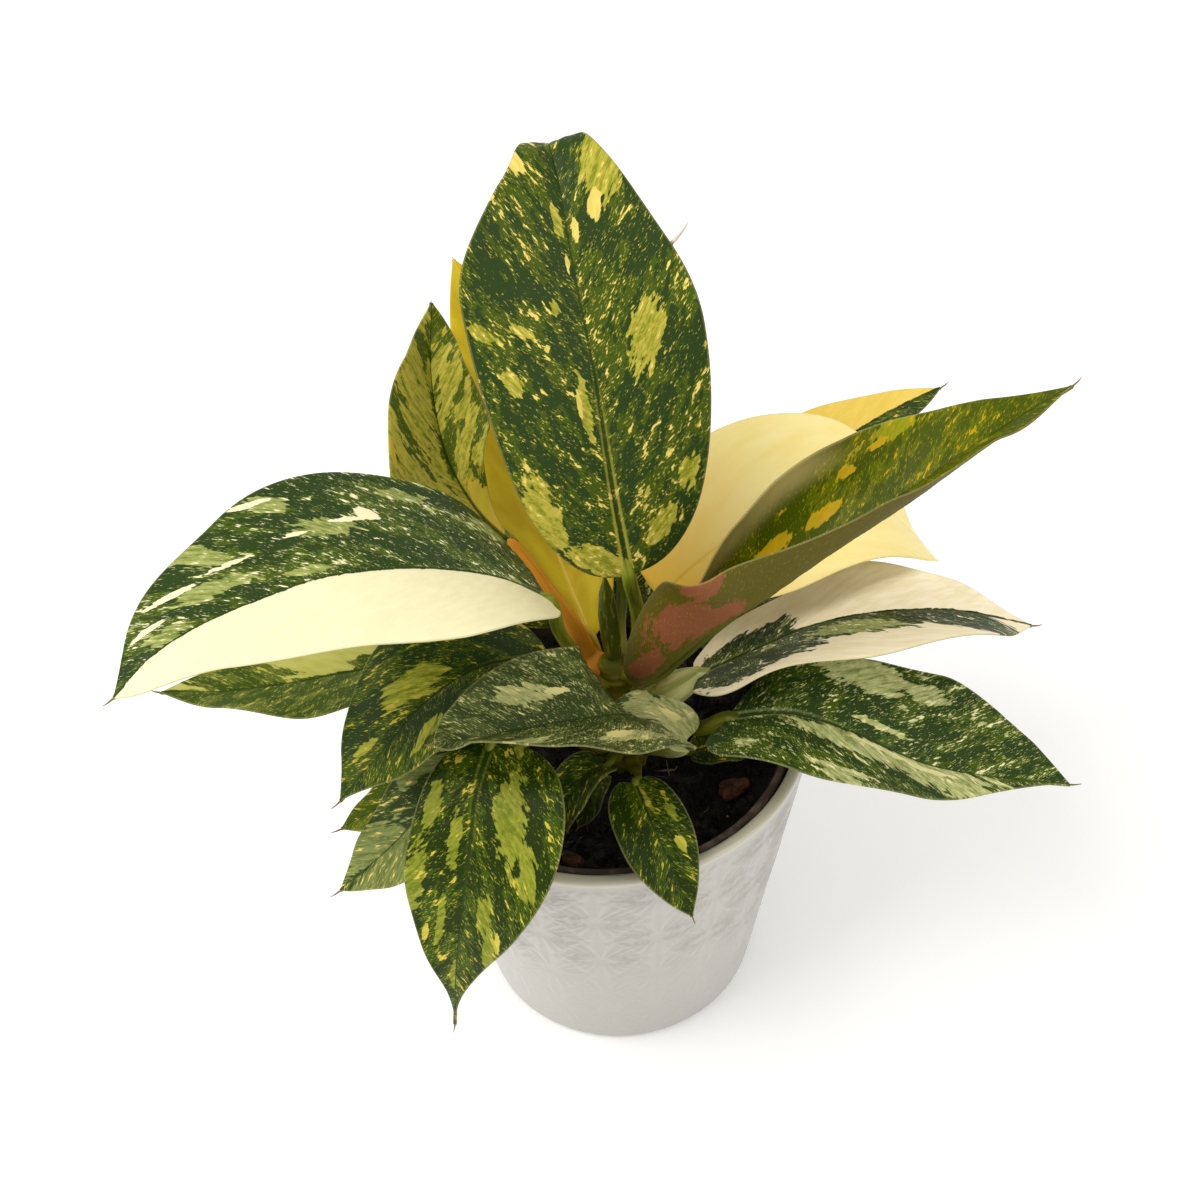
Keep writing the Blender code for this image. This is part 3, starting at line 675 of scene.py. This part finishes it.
def rib_skin(t, midrib, lead, r, seat, stalk, spine, tail, wing):
    """The stalk, the midrib and the dry thread in one tube, whose rings are wider where the stalk
    clasps the stem and have a channel on top: radius r (1 - 0.2 e^-(a / 0.55)^2) at a radians from
    the top. Under the blade the tube thins as 0.3 + 0.85 r (1 - t)^1.5."""
    mid, ahead, side, rise = midrib
    centre, radius = stem_at(seat[1])
    bearing = np.radians(seat[0])
    out = np.array([np.cos(bearing), np.sin(bearing), 0.0])
    foot = centre + out * (radius + 0.6)
    way = [foot, foot + out * CLASP_RUN + np.array([0, 0, CLASP_RISE]), *stalk, spine[0], spine[1]]
    path = smooth_path(way, np.linspace(0, 1, 240))[0]
    path = path[:np.argmin(np.linalg.norm(path - spine[0], axis=1))][::3]
    path[0] -= out * ROOTED
    count, rest = len(path), len(t) + THREAD_STEPS
    g = np.linspace(0, 1, count, endpoint=False)

    under = 0.3 + 0.85 * r * (1 - t) ** 1.5
    sink = (0.9 * under + 0.25) * ease(t, -0.01, 0.05)
    step = np.linspace(0, 1, THREAD_STEPS + 1)[1:]
    thread = mid[-1] + ahead[-1] * tail[0] * step[:, None] + rise[-1] * tail[1] * step[:, None] ** 2
    path = np.concatenate([path, mid - rise * sink[:, None], thread])
    course = unit(np.gradient(path, axis=0))
    spread = np.concatenate([np.tile(lead, (count, 1)), side, np.tile(side[-1], (THREAD_STEPS, 1))])
    spread = unit(spread - np.einsum("ij,ij->i", spread, course)[:, None] * course)
    over = np.cross(spread, course)

    thin = THREAD_R * max(tail[0] / THREAD_LONG, 0.5)
    girth = np.r_[r * (1 + 0.12 * (1 - g) ** 3), np.maximum(under, thin),
                  thin * (1 - 0.75 * step ** 1.5)]
    wide = np.r_[1 + CLASP * (1 - ease(g, 0, 0.55)) + wing * np.sin(np.pi * g), np.ones(rest)]
    grooved = np.r_[np.ones(count), np.zeros(rest)]
    spoke = full_turn(STALK_SIDES)
    channel = CHANNEL_DEEP * np.exp(-((spoke - np.pi / 2) / CHANNEL_HALF) ** 2)
    ring = girth[:, None] * (1 - channel * grooved[:, None])
    tube = (path[:, None] + spread[:, None] * (ring * wide[:, None] * np.cos(spoke))[..., None]
            + over[:, None] * (ring * np.sin(spoke))[..., None])
    station = np.r_[g - 1, t, 1 + step][:, None] + 0 * ring
    run = np.r_[0, np.cumsum(np.linalg.norm(np.diff(path, axis=0), axis=1))][:, None]
    lie = np.stack([girth[:, None] * spoke, run + 0 * ring, station], -1)
    return skin(np.concatenate([tube, lie, np.zeros((*ring.shape, 9))], -1))


STEADY = 1e4


def blade_finish(name, seed, green, sage, cream, margin=(158, 152, 98), rib=(40, 58, 12), sages=0.0,
                 flecks=0.0, lined=0.3, tint_and_light_colour=(200, 160, 50), backs=None, plain=False):
    """Skin of a blade. Noise of several sizes lies along the side veins; STEADY is a size so large
    that the noise doesn't vary that way. Cut at a level it gives a ground of two greens, fine
    flecks, dashes and ragged splashes; a splash laid on the blade lifts it over its level there."""
    f = Finish(name, Specular_IOR_Level=0.09)
    lie = f.own("lie")
    vein, aside, station = f.split(lie)
    edge, rib_at, under = f.split(f.own("trim"))
    sage_at, cream_at, green_at = f.split(f.own("areas"))
    tint_and_light = f.split(f.own("tint_and_light"))[0]
    slanted = vein + aside.math("ABSOLUTE") * 0.35
    grain = f.add("ShaderNodeCombineXYZ", {}, {"X": slanted, "Y": aside})
    fine = f.noise(grain, (0.42, 1.0, 1), seed, 2, 0.6)
    broad = f.noise(lie, (10, 9, STEADY), seed + 3, 2, 0.5)
    lines = f.noise(lie, (1.1, 60, STEADY), seed + 5, 2, 0.7)
    if plain:
        colour = f.mix(broad.over(0.5, 0.25), cream[0], cream[1])
        sage_mask = cream_mask = broad
        line_share = 0.1
    else:
        small = f.noise(grain, (1.2, 1.9, 1), seed + 1)
        dash = f.noise(lie, (3.6, 3.6, STEADY), seed + 2)
        streak = f.noise(lie, (1.4, 9, STEADY), seed + 4, 2, 0.5)
        ragged = (fine - 0.5) * 0.3 + (small - 0.5) * 0.7 + (dash - 0.5) * 1.4
        clear = green_at.math("MAXIMUM", 0) * 1.6
        sage_mask = (sage_at.math("MAXIMUM", (broad - (0.68 - sages)) * 6) + ragged).over(0.2, 0.06)
        cream_mask = cream_at.math("MAXIMUM", (dash - 0.8) * 6) + ragged * 0.7 - clear
        cream_mask = cream_mask.over(0.25, 0.06)
        tone = ((broad - 0.5) * 2 + ragged).over(0.0, 0.06)
        patched = (streak * 0.3 + small * 0.3 + fine * 0.2 + dash * 0.2).over(0.49, 0.09)
        strewn = fine + (small - 0.5) * 0.25 + (broad - 0.5) * 0.2
        dashed = dash * 0.7 + small * 0.5 + fine * 0.25 + (broad - 0.5) * 0.3
        pale_fleck = f.mix(small.over(0.56, 0.08), sage[1], cream[1])
        pale_dash = f.mix(small.over(0.55, 0.08), sage[1], cream[0])
        pale_splash = f.mix(dash.over(0.5, 0.2), cream[0], cream[1])
        colour = f.mix(tone, green[0], green[1])
        colour = f.mix(sage_mask, colour, f.mix(patched, sage[0], sage[1]))
        colour = f.mix(strewn.over(0.625 - flecks, 0.03) * 0.75, colour, pale_fleck)
        colour = f.mix(dashed.over(0.87, 0.02), colour, pale_dash)
        colour = f.mix(cream_mask, colour, pale_splash)
        line_share = 0.5 - cream_mask * 0.42
    colour = f.mix((lines - 0.5).math("ABSOLUTE") * line_share, colour, green[0])
    beside = rib_at.over(0.7, 0.2) * (1 - rib_at.over(1.5, 0.3)) * (1 - station.over(0.2, 0.25))
    colour = f.mix(beside * lined, colour, sage[1])
    colour = f.mix((1 - rib_at.over(0.7, 0.3)) * 0.85, colour, rib)
    # The tint is the leaf's own colour on the drip tip and painted light on the cream and rolled
    # leaves.
    colour = f.mix(tint_and_light, colour, tint_and_light_colour)
    back_dark, back_pale = backs or (tuple(int(0.7 * c + 30) for c in green[1]),
                                     tuple(int(0.8 * c + 20) for c in sage[1]))
    behind = f.mix(sage_mask.math("MAXIMUM", cream_mask), back_dark, back_pale)
    behind = f.mix(fine.over(0.64, 0.03) * 0.4, behind, sage[1])
    colour = f.mix(under.over(0.5, 0.3), colour, behind)
    colour = f.mix((1 - edge.over(0.2, 0.14)) * 0.3, colour, margin)
    f.set(Base_Color=colour, Roughness=(fine - 0.5) * 0.15 + under * 0.1 + 0.42)
    f.bump(lines * 0.6 + fine * 0.4, 0.0002, 0.5)
    return f


def stalk_finish(name, seed, pale, deep, foot=(118, 106, 18), dry=(120, 96, 60)):
    """Skin of a stalk: long faint streaks along it, foot-coloured where it leaves the stem, and dry
    at the thread at its end."""
    f = Finish(name, Specular_IOR_Level=0.2)
    lie = f.own("lie")
    station = f.split(lie)[2]
    streak = f.noise(lie, (1.6, 22, STEADY), seed, 3, 0.6)
    colour = f.mix(streak.over(0.5, 0.14), pale, deep)
    colour = f.mix((1 - station.over(-0.55, 0.35)) * 0.8, colour, foot)
    colour = f.mix(station.over(1.12, 0.12), colour, dry)
    f.set(Base_Color=colour, Roughness=streak * 0.2 + 0.3)
    f.bump(streak, 0.0003, 0.5)
    return f


green_stalk = stalk_finish("green_stalk", 3, (138, 142, 40), (92, 104, 12))
yellow_stalk = stalk_finish("yellow_stalk", 5, (200, 168, 44), (150, 124, 16), foot=(168, 138, 20))
orange_stalk = stalk_finish("orange_stalk", 6, (214, 140, 36), (184, 124, 20), foot=(196, 128, 24))
olive_stalk = stalk_finish("olive_stalk", 7, (96, 98, 24), (70, 76, 10))
pale_stalk = stalk_finish("pale_stalk", 8, (188, 184, 120), (140, 146, 76))
thread_stalk = stalk_finish("thread_stalk", 9, (112, 118, 24), (72, 86, 8), dry=(214, 206, 188))

# Tones of the blades, in pairs that are mixed patch by patch.
DARK = ((42, 61, 22), (66, 83, 18))
# DEEP is a darker green than DARK for the leaves low and at the front, under the crown: painted
# shade.
DEEP = ((34, 50, 4), (56, 74, 6))
SAGE = ((118, 130, 64), (168, 172, 104))
LIME = ((104, 116, 22), (146, 150, 50))
GLOW = ((122, 128, 26), (184, 172, 68))
CREAM = ((232, 206, 112), (204, 188, 88))
GILT = ((206, 184, 72), (160, 162, 52))
# This gold is a yellow leaf as it looks in the shade behind the crown, lit through the leaves:
# painted shade and glow.
SHADED_GOLD = ((176, 150, 20), (198, 174, 34))
IVORY = ((243, 222, 140), (246, 230, 160))
# The set for the low and front leaves, with the painted shade of DEEP.
LOW_LEAVES = DEEP, LIME, GILT


def leaf(name, seed, colours, look=None, *, seat, stalk=(), r=2, spine, stalk_skin=green_stalk,
         roll=0, tail=(3.5, 1), wing=0, slot="leaf_green", **form):
    """One leaf in one piece, its skin from blade_finish(seed, *colours, **look). Seat is where it
    leaves the stem, in degrees round it and height; stalk and spine are the points that the stalk
    and the midrib pass through, r is the stalk's radius, and form is the blade's. Rows of points
    crowd towards the base and the tip: 0.7 t + 0.15 (1 - cos(pi t))."""
    finishes = blade_finish(name + "_skin", seed, *colours, **look or {}), stalk_skin
    long = smooth_path(spine, [0])[1]
    t = np.linspace(0, 1, int(40 + long * 0.55))
    t = 0.7 * t + 0.15 * (1 - np.cos(np.pi * t))
    reach = np.subtract(spine[len(spine) * 2 // 3] if len(spine) > 5 else spine[-1], spine[0])
    lead = unit(np.cross(reach, [0, 0, 1.0]))
    midrib = midrib_line(spine, t, lead, roll)
    blade, blade_faces = blade_skin(t, midrib, long, r, seat[0], **form)
    rib, rib_faces = rib_skin(t, midrib, lead, r, seat, stalk, spine, tail, wing)
    points = np.concatenate([blade, rib])
    faces = blade_faces + [[v + len(blade) for v in face] for face in rib_faces]
    which = np.repeat([0, 1], [len(blade_faces), len(rib_faces)])
    marks = dict(zip(("lie", "trim", "areas", "tint_and_light"), np.split(points[:, 3:], 4, 1)))
    made = piece(name + "_grown", points[:, :3], faces, finishes, marks, which)
    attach(made, "root")
    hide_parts(name)


leaf("leaf_top", 1, (DARK, GLOW, CREAM), dict(flecks=-.02, lined=.7),
     seat=(-20, 142), stalk=[(13, 0, 154), (12, -3, 174)], r=2.2,
     spine=[(10, -10, 194), (7, 0, 219), (4, 15, 250), (0, 32, 277), (-2, 46, 293), (-4, 58, 298),
            (-4, 76, 280), (-5, 89, 264)],
     width=(34, 33), belly=(.5, .4), taper=(5.2, 2.8), fold=[10, 14, 30], curl=[-8, -10], lobe=0,
     sage=[(.4, .5, 11, 7), (.68, .85, 13, 8), (.6, -.1, 6, 1.8), (.47, -.23, 3, 2),
           (.45, -.85, 3, 5), (.44, -.55, 2.2, 5), (.37, -.74, 5, 3.5), (.3, -.16, 14, 2.2),
           (.13, -.9, 17, 7), (.04, -.5, 6, 12), (.08, .6, 5, 7), (.16, .8, 6, 4)],
     cream=[(.62, .42, 5, 3), (.7, -.95, 5, 4), (.64, -.98, 2, 2), (.58, .1, 5, 1.4),
            (.53, -.06, 4, 1), (.41, -.36, 1.6, 1.4), (.31, -.2, 6, 1)])
leaf("leaf_arch_left", 2,
     (DARK, ((108, 122, 54), (160, 166, 94)), ((238, 230, 188), (234, 225, 181))),
     dict(sages=.02, flecks=-.005),
     seat=(195, 139), stalk=[(-7, -5, 153), (-12, -10, 173)], r=2.2,
     spine=[(-14, -15, 191), (-27, -22, 208), (-43, -30, 221), (-58, -38, 230), (-73, -46, 236),
            (-87, -54, 238), (-102, -62, 238), (-114, -70, 236), (-125, -76, 228)],
     width=(38, 39), belly=(.41, .39), base=(1.5, 2.2), taper=(.9, 1),
     fold=((10, 8, 10), (8, 10, 10)), wave=.5, cream_halves=(0,),
     sage=[(.58, .84, 5, 4), (.72, .67, 6, 4), (.5, .45, 13, 4), (.57, .1, 10, 2),
           (.74, .35, 12, 3.5), (.85, .15, 8, 3), (.3, .8, 10, 3), (.76, .95, 8, 3),
           (.1, .85, 9, 4)],
     cream=[(.4, .55, 4, 4), (.45, .5, 10, 1.2), (.56, .45, 8, 1), (.61, .9, 8, 1.3),
            (.81, .65, 9, 1.3), (.7, .5, 9, 1), (.88, .5, 8, 1)])
leaf("leaf_back_left", 3, (((70, 86, 16), (104, 112, 28)), GLOW, ((190, 174, 50), (204, 170, 60))),
     dict(sages=.2), stalk_skin=orange_stalk,
     seat=(150, 141), stalk=[(-8, 9, 155)], r=2.1,
     spine=[(-25, 25, 176), (-35, 30, 187), (-43, 38, 203), (-46, 52, 222), (-44, 66, 242)],
     width=(27, 16), belly=(.3, .5), base=(2.2, .9), taper=(1.2, .9),
     fold=((20, 28, 30), (30, 35, 30)), tail=(1, .3),
     sage=[(.35, -.6, 16, 9), (.65, -.4, 16, 7), (.7, .3, 10, 2)],
     cream=[(.5, -.95, 6, 2), (.2, .6, 12, 5)])
# The gold leaf is a yellow leaf painted in its shaded, glowing gold: painted shade and glow.
leaf("leaf_gold", 4, [SHADED_GOLD] * 3,
     dict(margin=(200, 176, 80), rib=(214, 184, 70), plain=True), stalk_skin=yellow_stalk,
     seat=(115, 132), r=2.1,
     spine=[(-3, 12, 146), (-11, 36, 157), (-18, 58, 180), (-28, 82, 208), (-38.5, 103, 232)],
     width=(20, 24), belly=.5, base=1.8, fold=15, tail=(1, .3), slot="leaf_gold")
# The golden tint at the base of the cream leaf is painted light: the glow of light passing through
# the yellow leaves.
leaf("leaf_cream", 5, [IVORY] * 3,
     dict(margin=(224, 196, 130), rib=(236, 208, 120), plain=True), stalk_skin=yellow_stalk,
     seat=(40, 137), stalk=[(12, 7, 147)], r=2.1,
     spine=[(20, 13, 160), (40, 22, 172), (65, 30, 179), (90, 38, 172), (110, 43, 147)],
     width=(36, 34), belly=(.45, .5), taper=(.9, .5), fold=(20, 5), tail=(1, 0),
     slot="leaf_cream", tint=lambda t, u: 1 - ease(t, .0, .5))
# The pale strip along the margin of its far half is the leaf's own paler margin, painted brighter
# to lift the shade inside the curl: partly painted light.
leaf("leaf_rolled", 6,
     (((66, 78, 0), (88, 96, 0)), ((126, 132, 6), (146, 142, 20)),
      ((190, 154, 14), (176, 146, 20))),
     dict(backs=((84, 76, 20), (128, 76, 48)), tint_and_light_colour=(186, 168, 104)), stalk_skin=olive_stalk,
     seat=(-75, 132), stalk=[(12, -10, 147)], r=2.2,
     spine=[(13, -19, 157), (24, -22, 173), (42, -24, 193), (56, -26, 208), (71, -26, 221),
            (88, -22, 230), (103, -18, 239), (134, -8, 252)],
     width=(25, 38), belly=(.5, .33), base=(1.25, 1.45), taper=(1, 1.4),
     fold=((30, 30, 27, 22, 15, 15), (-15, 9, 10, 17, 20, 15)),
     curl=((150, 140, 90, 68, 12, 0), (185, 155, 92, 50, 25, 0)), lobe=(0, 7), wave=0,
     sage=[(.72, -.9, 9, 3), (.6, .3, 14, 2), (.45, .15, 10, 2)],
     cream=[(.53, -.3, 9, 2.5), (.41, -.35, 9, 3), (.3, -.3, 9, 3), (.6, -.6, 4, 1.5),
            (.67, -.75, 5, 1.5), (.27, .6, 22, 11), (.12, .6, 9, 5), (.36, .95, 9, 6)],
     tint=lambda t, u: .85 * ease(-u, .6, .9) * (1 - ease(t, .5, .66)))
leaf("leaf_half_cream", 7, (DEEP, SAGE, ((254, 242, 208), (246, 230, 188))), stalk_skin=pale_stalk,
     seat=(0, 134), stalk=[(17, -3, 133)], r=3.1,
     spine=[(31, -5, 142), (50, -8, 156), (65, -10, 166), (83, -12, 172), (106, -14, 173),
            (132, -14, 164)],
     width=(25, 33), belly=.5, lobe=(7, 1), roll=16, wing=1.5, cream_halves=(0, 1),
     sage=[(.5, .3, 18, 7)],
     green=[(.2, .3, 36, 24), (.17, -.15, 26, 12), (.5, .2, 30, 15), (.76, .25, 26, 17)])
leaf("leaf_low_right", 8,
     (DARK, ((126, 136, 74), (192, 192, 132)), ((228, 222, 166), (206, 202, 138))), dict(sages=.03),
     stalk_skin=olive_stalk,
     seat=(-25, 122), stalk=[(17, -8, 127), (29, -19, 133)], r=2.5,
     spine=[(38, -28, 147), (56, -34, 154), (73, -40, 151), (96, -46, 140), (118, -50, 136),
            (139, -52, 133)],
     width=(29, 27), belly=(.6, .25), base=(1.6, 3), taper=(.9, 2),
     fold=((20, 18, 12), (18, 18, 12)), lobe=(1, 4),
     sage=[(.36, -.8, 18, 7), (.55, -.75, 12, 4), (.45, -.2, 14, 1.2), (.38, .2, 24, 6),
           (.62, .3, 22, 8), (.35, .9, 6, 4)],
     cream=[(.45, .1, 16, 1.6), (.6, .2, 12, 1.4)])
leaf("leaf_folded", 9,
     (((52, 66, 26), (74, 88, 38)), ((132, 138, 84), (182, 180, 118)),
      ((222, 210, 142), (200, 190, 120))),
     dict(flecks=.015), stalk_skin=pale_stalk,
     seat=(-55, 116), stalk=[(13, -14, 120), (20, -23, 127)], r=1.9,
     spine=[(24, -31, 139), (16, -36, 155), (6, -43, 169), (-7, -52, 179), (-24, -62, 188),
            (-46, -74, 198)],
     width=(26, 21), belly=.6, base=(1.5, 3.2), taper=.7,
     fold=((15, 12, 15, 28, 40), (62, 15, -50, 10, 42, 42, 42, 42, 40)), lobe=(0, 6), wave=0,
     sage=[(.72, .5, 12, 4), (.07, .5, 18, 12), (.45, -.6, 20, 4), (.2, -.7, 14, 6),
           (.8, -.7, 10, 4)],
     cream=[(.6, .45, 6, 1.5), (.1, .6, 4, 3), (.5, -.5, 7, 3)])
leaf("leaf_mid_left", 10, (DARK, ((112, 124, 20), (174, 172, 62)), GILT),
     seat=(214, 131), stalk=[(-6, -11, 147)],
     spine=[(-15, -20, 172), (-35, -30, 180), (-50, -40, 179), (-64, -51, 171), (-78, -60, 160)],
     width=(22, 25), taper=(1.4, 1),
     sage=[(.52, .3, 12, 6), (.35, .7, 8, 3), (.6, -.5, 8, 3), (.8, .3, 5, 2)])
leaf("leaf_hanging", 11, LOW_LEAVES,
     seat=(235, 124), stalk=[(-8, -20, 140), (-21, -38, 160)],
     spine=[(-33, -50, 170), (-38, -64, 165), (-41, -76, 154), (-45, -84, 136), (-49, -88, 114),
            (-53, -88, 82)],
     width=(28, 18), belly=(.2, .38), taper=(2.5, 2.3), fold=8,
     sage=[(.2, -.4, 16, 6), (.34, -.74, 8, 4), (.42, .85, 18, 3.5), (.28, .25, 12, 2.2),
           (.55, .4, 14, 1.6), (.48, -.36, 10, 3), (.2, .75, 9, 3), (.6, -.75, 12, 2.5),
           (.73, .05, 9, 1.8)],
     cream=[(.6, .8, 5, 1.5), (.55, -.8, 6, 1.5)])
leaf("leaf_low_grey", 12, (((48, 64, 20), (70, 86, 34)), ((96, 108, 48), (132, 142, 80)), CREAM),
     stalk_skin=pale_stalk,
     seat=(222, 116), stalk=[(-9, -14, 128)], r=1.8,
     spine=[(-36, -37, 149), (-51, -48, 145), (-66, -58, 135), (-83, -66, 125)],
     width=(17, 14),
     sage=[(.7, -.5, 20, 12), (.75, .5, 16, 10), (.3, .8, 10, 4)])
leaf("leaf_low_green", 13, (((70, 88, 10), (96, 108, 20)), LIME, CREAM),
     seat=(198, 111), stalk=[(-12, -6, 117)], r=1.6,
     spine=[(-48, -16, 127), (-67, -26, 119), (-86, -34, 114)],
     width=(12, 9), belly=.5)
leaf("leaf_under_left", 14,
     (((62, 80, 20), (92, 104, 36)), GLOW, ((176, 173, 82), (190, 186, 100))),
     seat=(176, 126), stalk=[(-12, 0, 136)], r=1.9,
     spine=[(-42, -5, 158), (-74, -12, 163), (-95, -18, 166), (-114, -24, 171), (-130, -28, 177)],
     width=18, cream_halves=(1,),
     green=[(.75, .4, 24, 10), (.3, .2, 12, 4)])
leaf("leaf_small_front", 15, LOW_LEAVES,
     seat=(-78, 109), stalk=[(9, -22, 117), (9, -34, 128)], r=1.2,
     spine=[(8, -41, 135), (11, -53, 134), (16, -65, 127), (22, -76, 113)],
     width=(11, 12.5), belly=.38, lobe=2, wave=.5, tail=(3, -.6),
     sage=[(.3, -.6, 4, 2)],
     cream=[(.52, -.55, 3.5, 2)])
leaf("leaf_small_right", 16, LOW_LEAVES,
     seat=(-22, 109), stalk=[(20, -9, 110)], r=1.1,
     spine=[(28, -11, 112), (37, -11, 114), (47, -9, 108)],
     width=8, belly=.4, lobe=1.5, wave=.3, tail=(2, .3))
leaf("leaf_back_right", 17, (DARK, LIME, ((230, 200, 96), (224, 192, 84))), stalk_skin=yellow_stalk,
     seat=(58, 130), stalk=[(14, 16, 138)],
     spine=[(33, 42, 146), (66, 66, 157), (98, 83, 167), (123, 92, 173)],
     width=20, fold=(5, 10), cream_halves=(0,))
leaf("leaf_drip_tip", 18, (DARK, LIME, CREAM), dict(tint_and_light_colour=(196, 192, 164)),
     stalk_skin=thread_stalk, seat=(84, 138), stalk=[(6, 17, 139), (8, 29, 141)],
     spine=[(9, 40, 146), (10, 62, 170), (14, 89, 197), (23, 110, 219), (33, 115, 224)],
     width=(20, 16), belly=.4, taper=2.6, tail=(8, 6), tint=lambda t, u: ease(t, .84, .95))
# Three plain leaves behind the stem.
for name, seed, colours, seat, stalk, spine, width in (
        ("leaf_far_left", 19, LOW_LEAVES, (135, 120), (-4, 14, 128),
         [(-12, 26, 140), (-28, 46, 146), (-45, 62, 142), (-60, 76, 128)], 22),
        ("leaf_far_mid", 20, (DARK, SAGE, CREAM), (98, 116), (4, 16, 122),
         [(4, 34, 132), (7, 60, 141), (12, 86, 136), (15, 106, 120)], 24),
        ("leaf_far_right", 21, (DARK, LIME, CREAM), (28, 118), (17, 9, 124),
         [(31, 20, 132), (50, 33, 137), (68, 45, 130), (82, 56, 114)], 20)):
    leaf(name, seed, colours,
         seat=seat, stalk=[stalk], r=1.9, spine=spine, width=width, belly=.42, fold=12)
leaf("leaf_curl_front", 22, LOW_LEAVES,
     seat=(-112, 112), stalk=[(2, -18, 120)], r=1.1,
     spine=[(-1, -27, 127), (-7, -33, 131), (-13, -38, 125), (-17, -41, 111)],
     width=(9, 8), fold=20, curl=20, lobe=1.5, wave=.3, tail=(2, .3))
leaf("leaf_curl_low", 23, LOW_LEAVES,
     seat=(-140, 109), stalk=[(-3, -14, 112)], r=.9,
     spine=[(-2, -20, 114), (-5, -25, 114), (-8, -30, 109), (-11, -33, 105)],
     width=6, fold=20, curl=20, lobe=1, wave=.2, tail=(2, .3))

# New leaf. The next leaf stands on the tip of the stem, still rolled up in itself like a scroll,
# dark green with a pale seam where its outer edge lies.
SCROLL_H, SCROLL_R, SCROLL_LIP = 34, 3.0, 0.14
f = np.linspace(0, 1, 60)[:, None]
spoke = full_turn(36)
swelling = np.interp(f, (0, .24, .53, .8, 1), (.8, 1, 1, .67, .12))
girth = SCROLL_R * swelling * (1 + SCROLL_LIP * ((spoke + 4 * f) / (2 * np.pi) % 1))
rise = SCROLL_H * f
points, faces = skin(circles(girth, spoke, STEM_TOP[2] + 1.5 + rise, STEM_TOP[0] - 0.03 * rise,
                             STEM_TOP[1] + 0.02 * rise))
bud_finish = Finish("rolled_green", Specular_IOR_Level=0.2)
where = bud_finish.places()
streaks = bud_finish.noise(where, (0.001, 0.001, 0.012), 3, 3)
bud_green = bud_finish.mix(streaks.over(0.6, 0.05), (70, 78, 6), (130, 124, 30))
bud_finish.set(Base_Color=bud_green, Roughness=streaks * 0.2 + 0.3)
bud_finish.bump(streaks, 0.0002)
bud = piece("new_leaf_rolled", points, faces, [bud_finish])
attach(bud, "root")
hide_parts("new_leaf")

low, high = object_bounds()
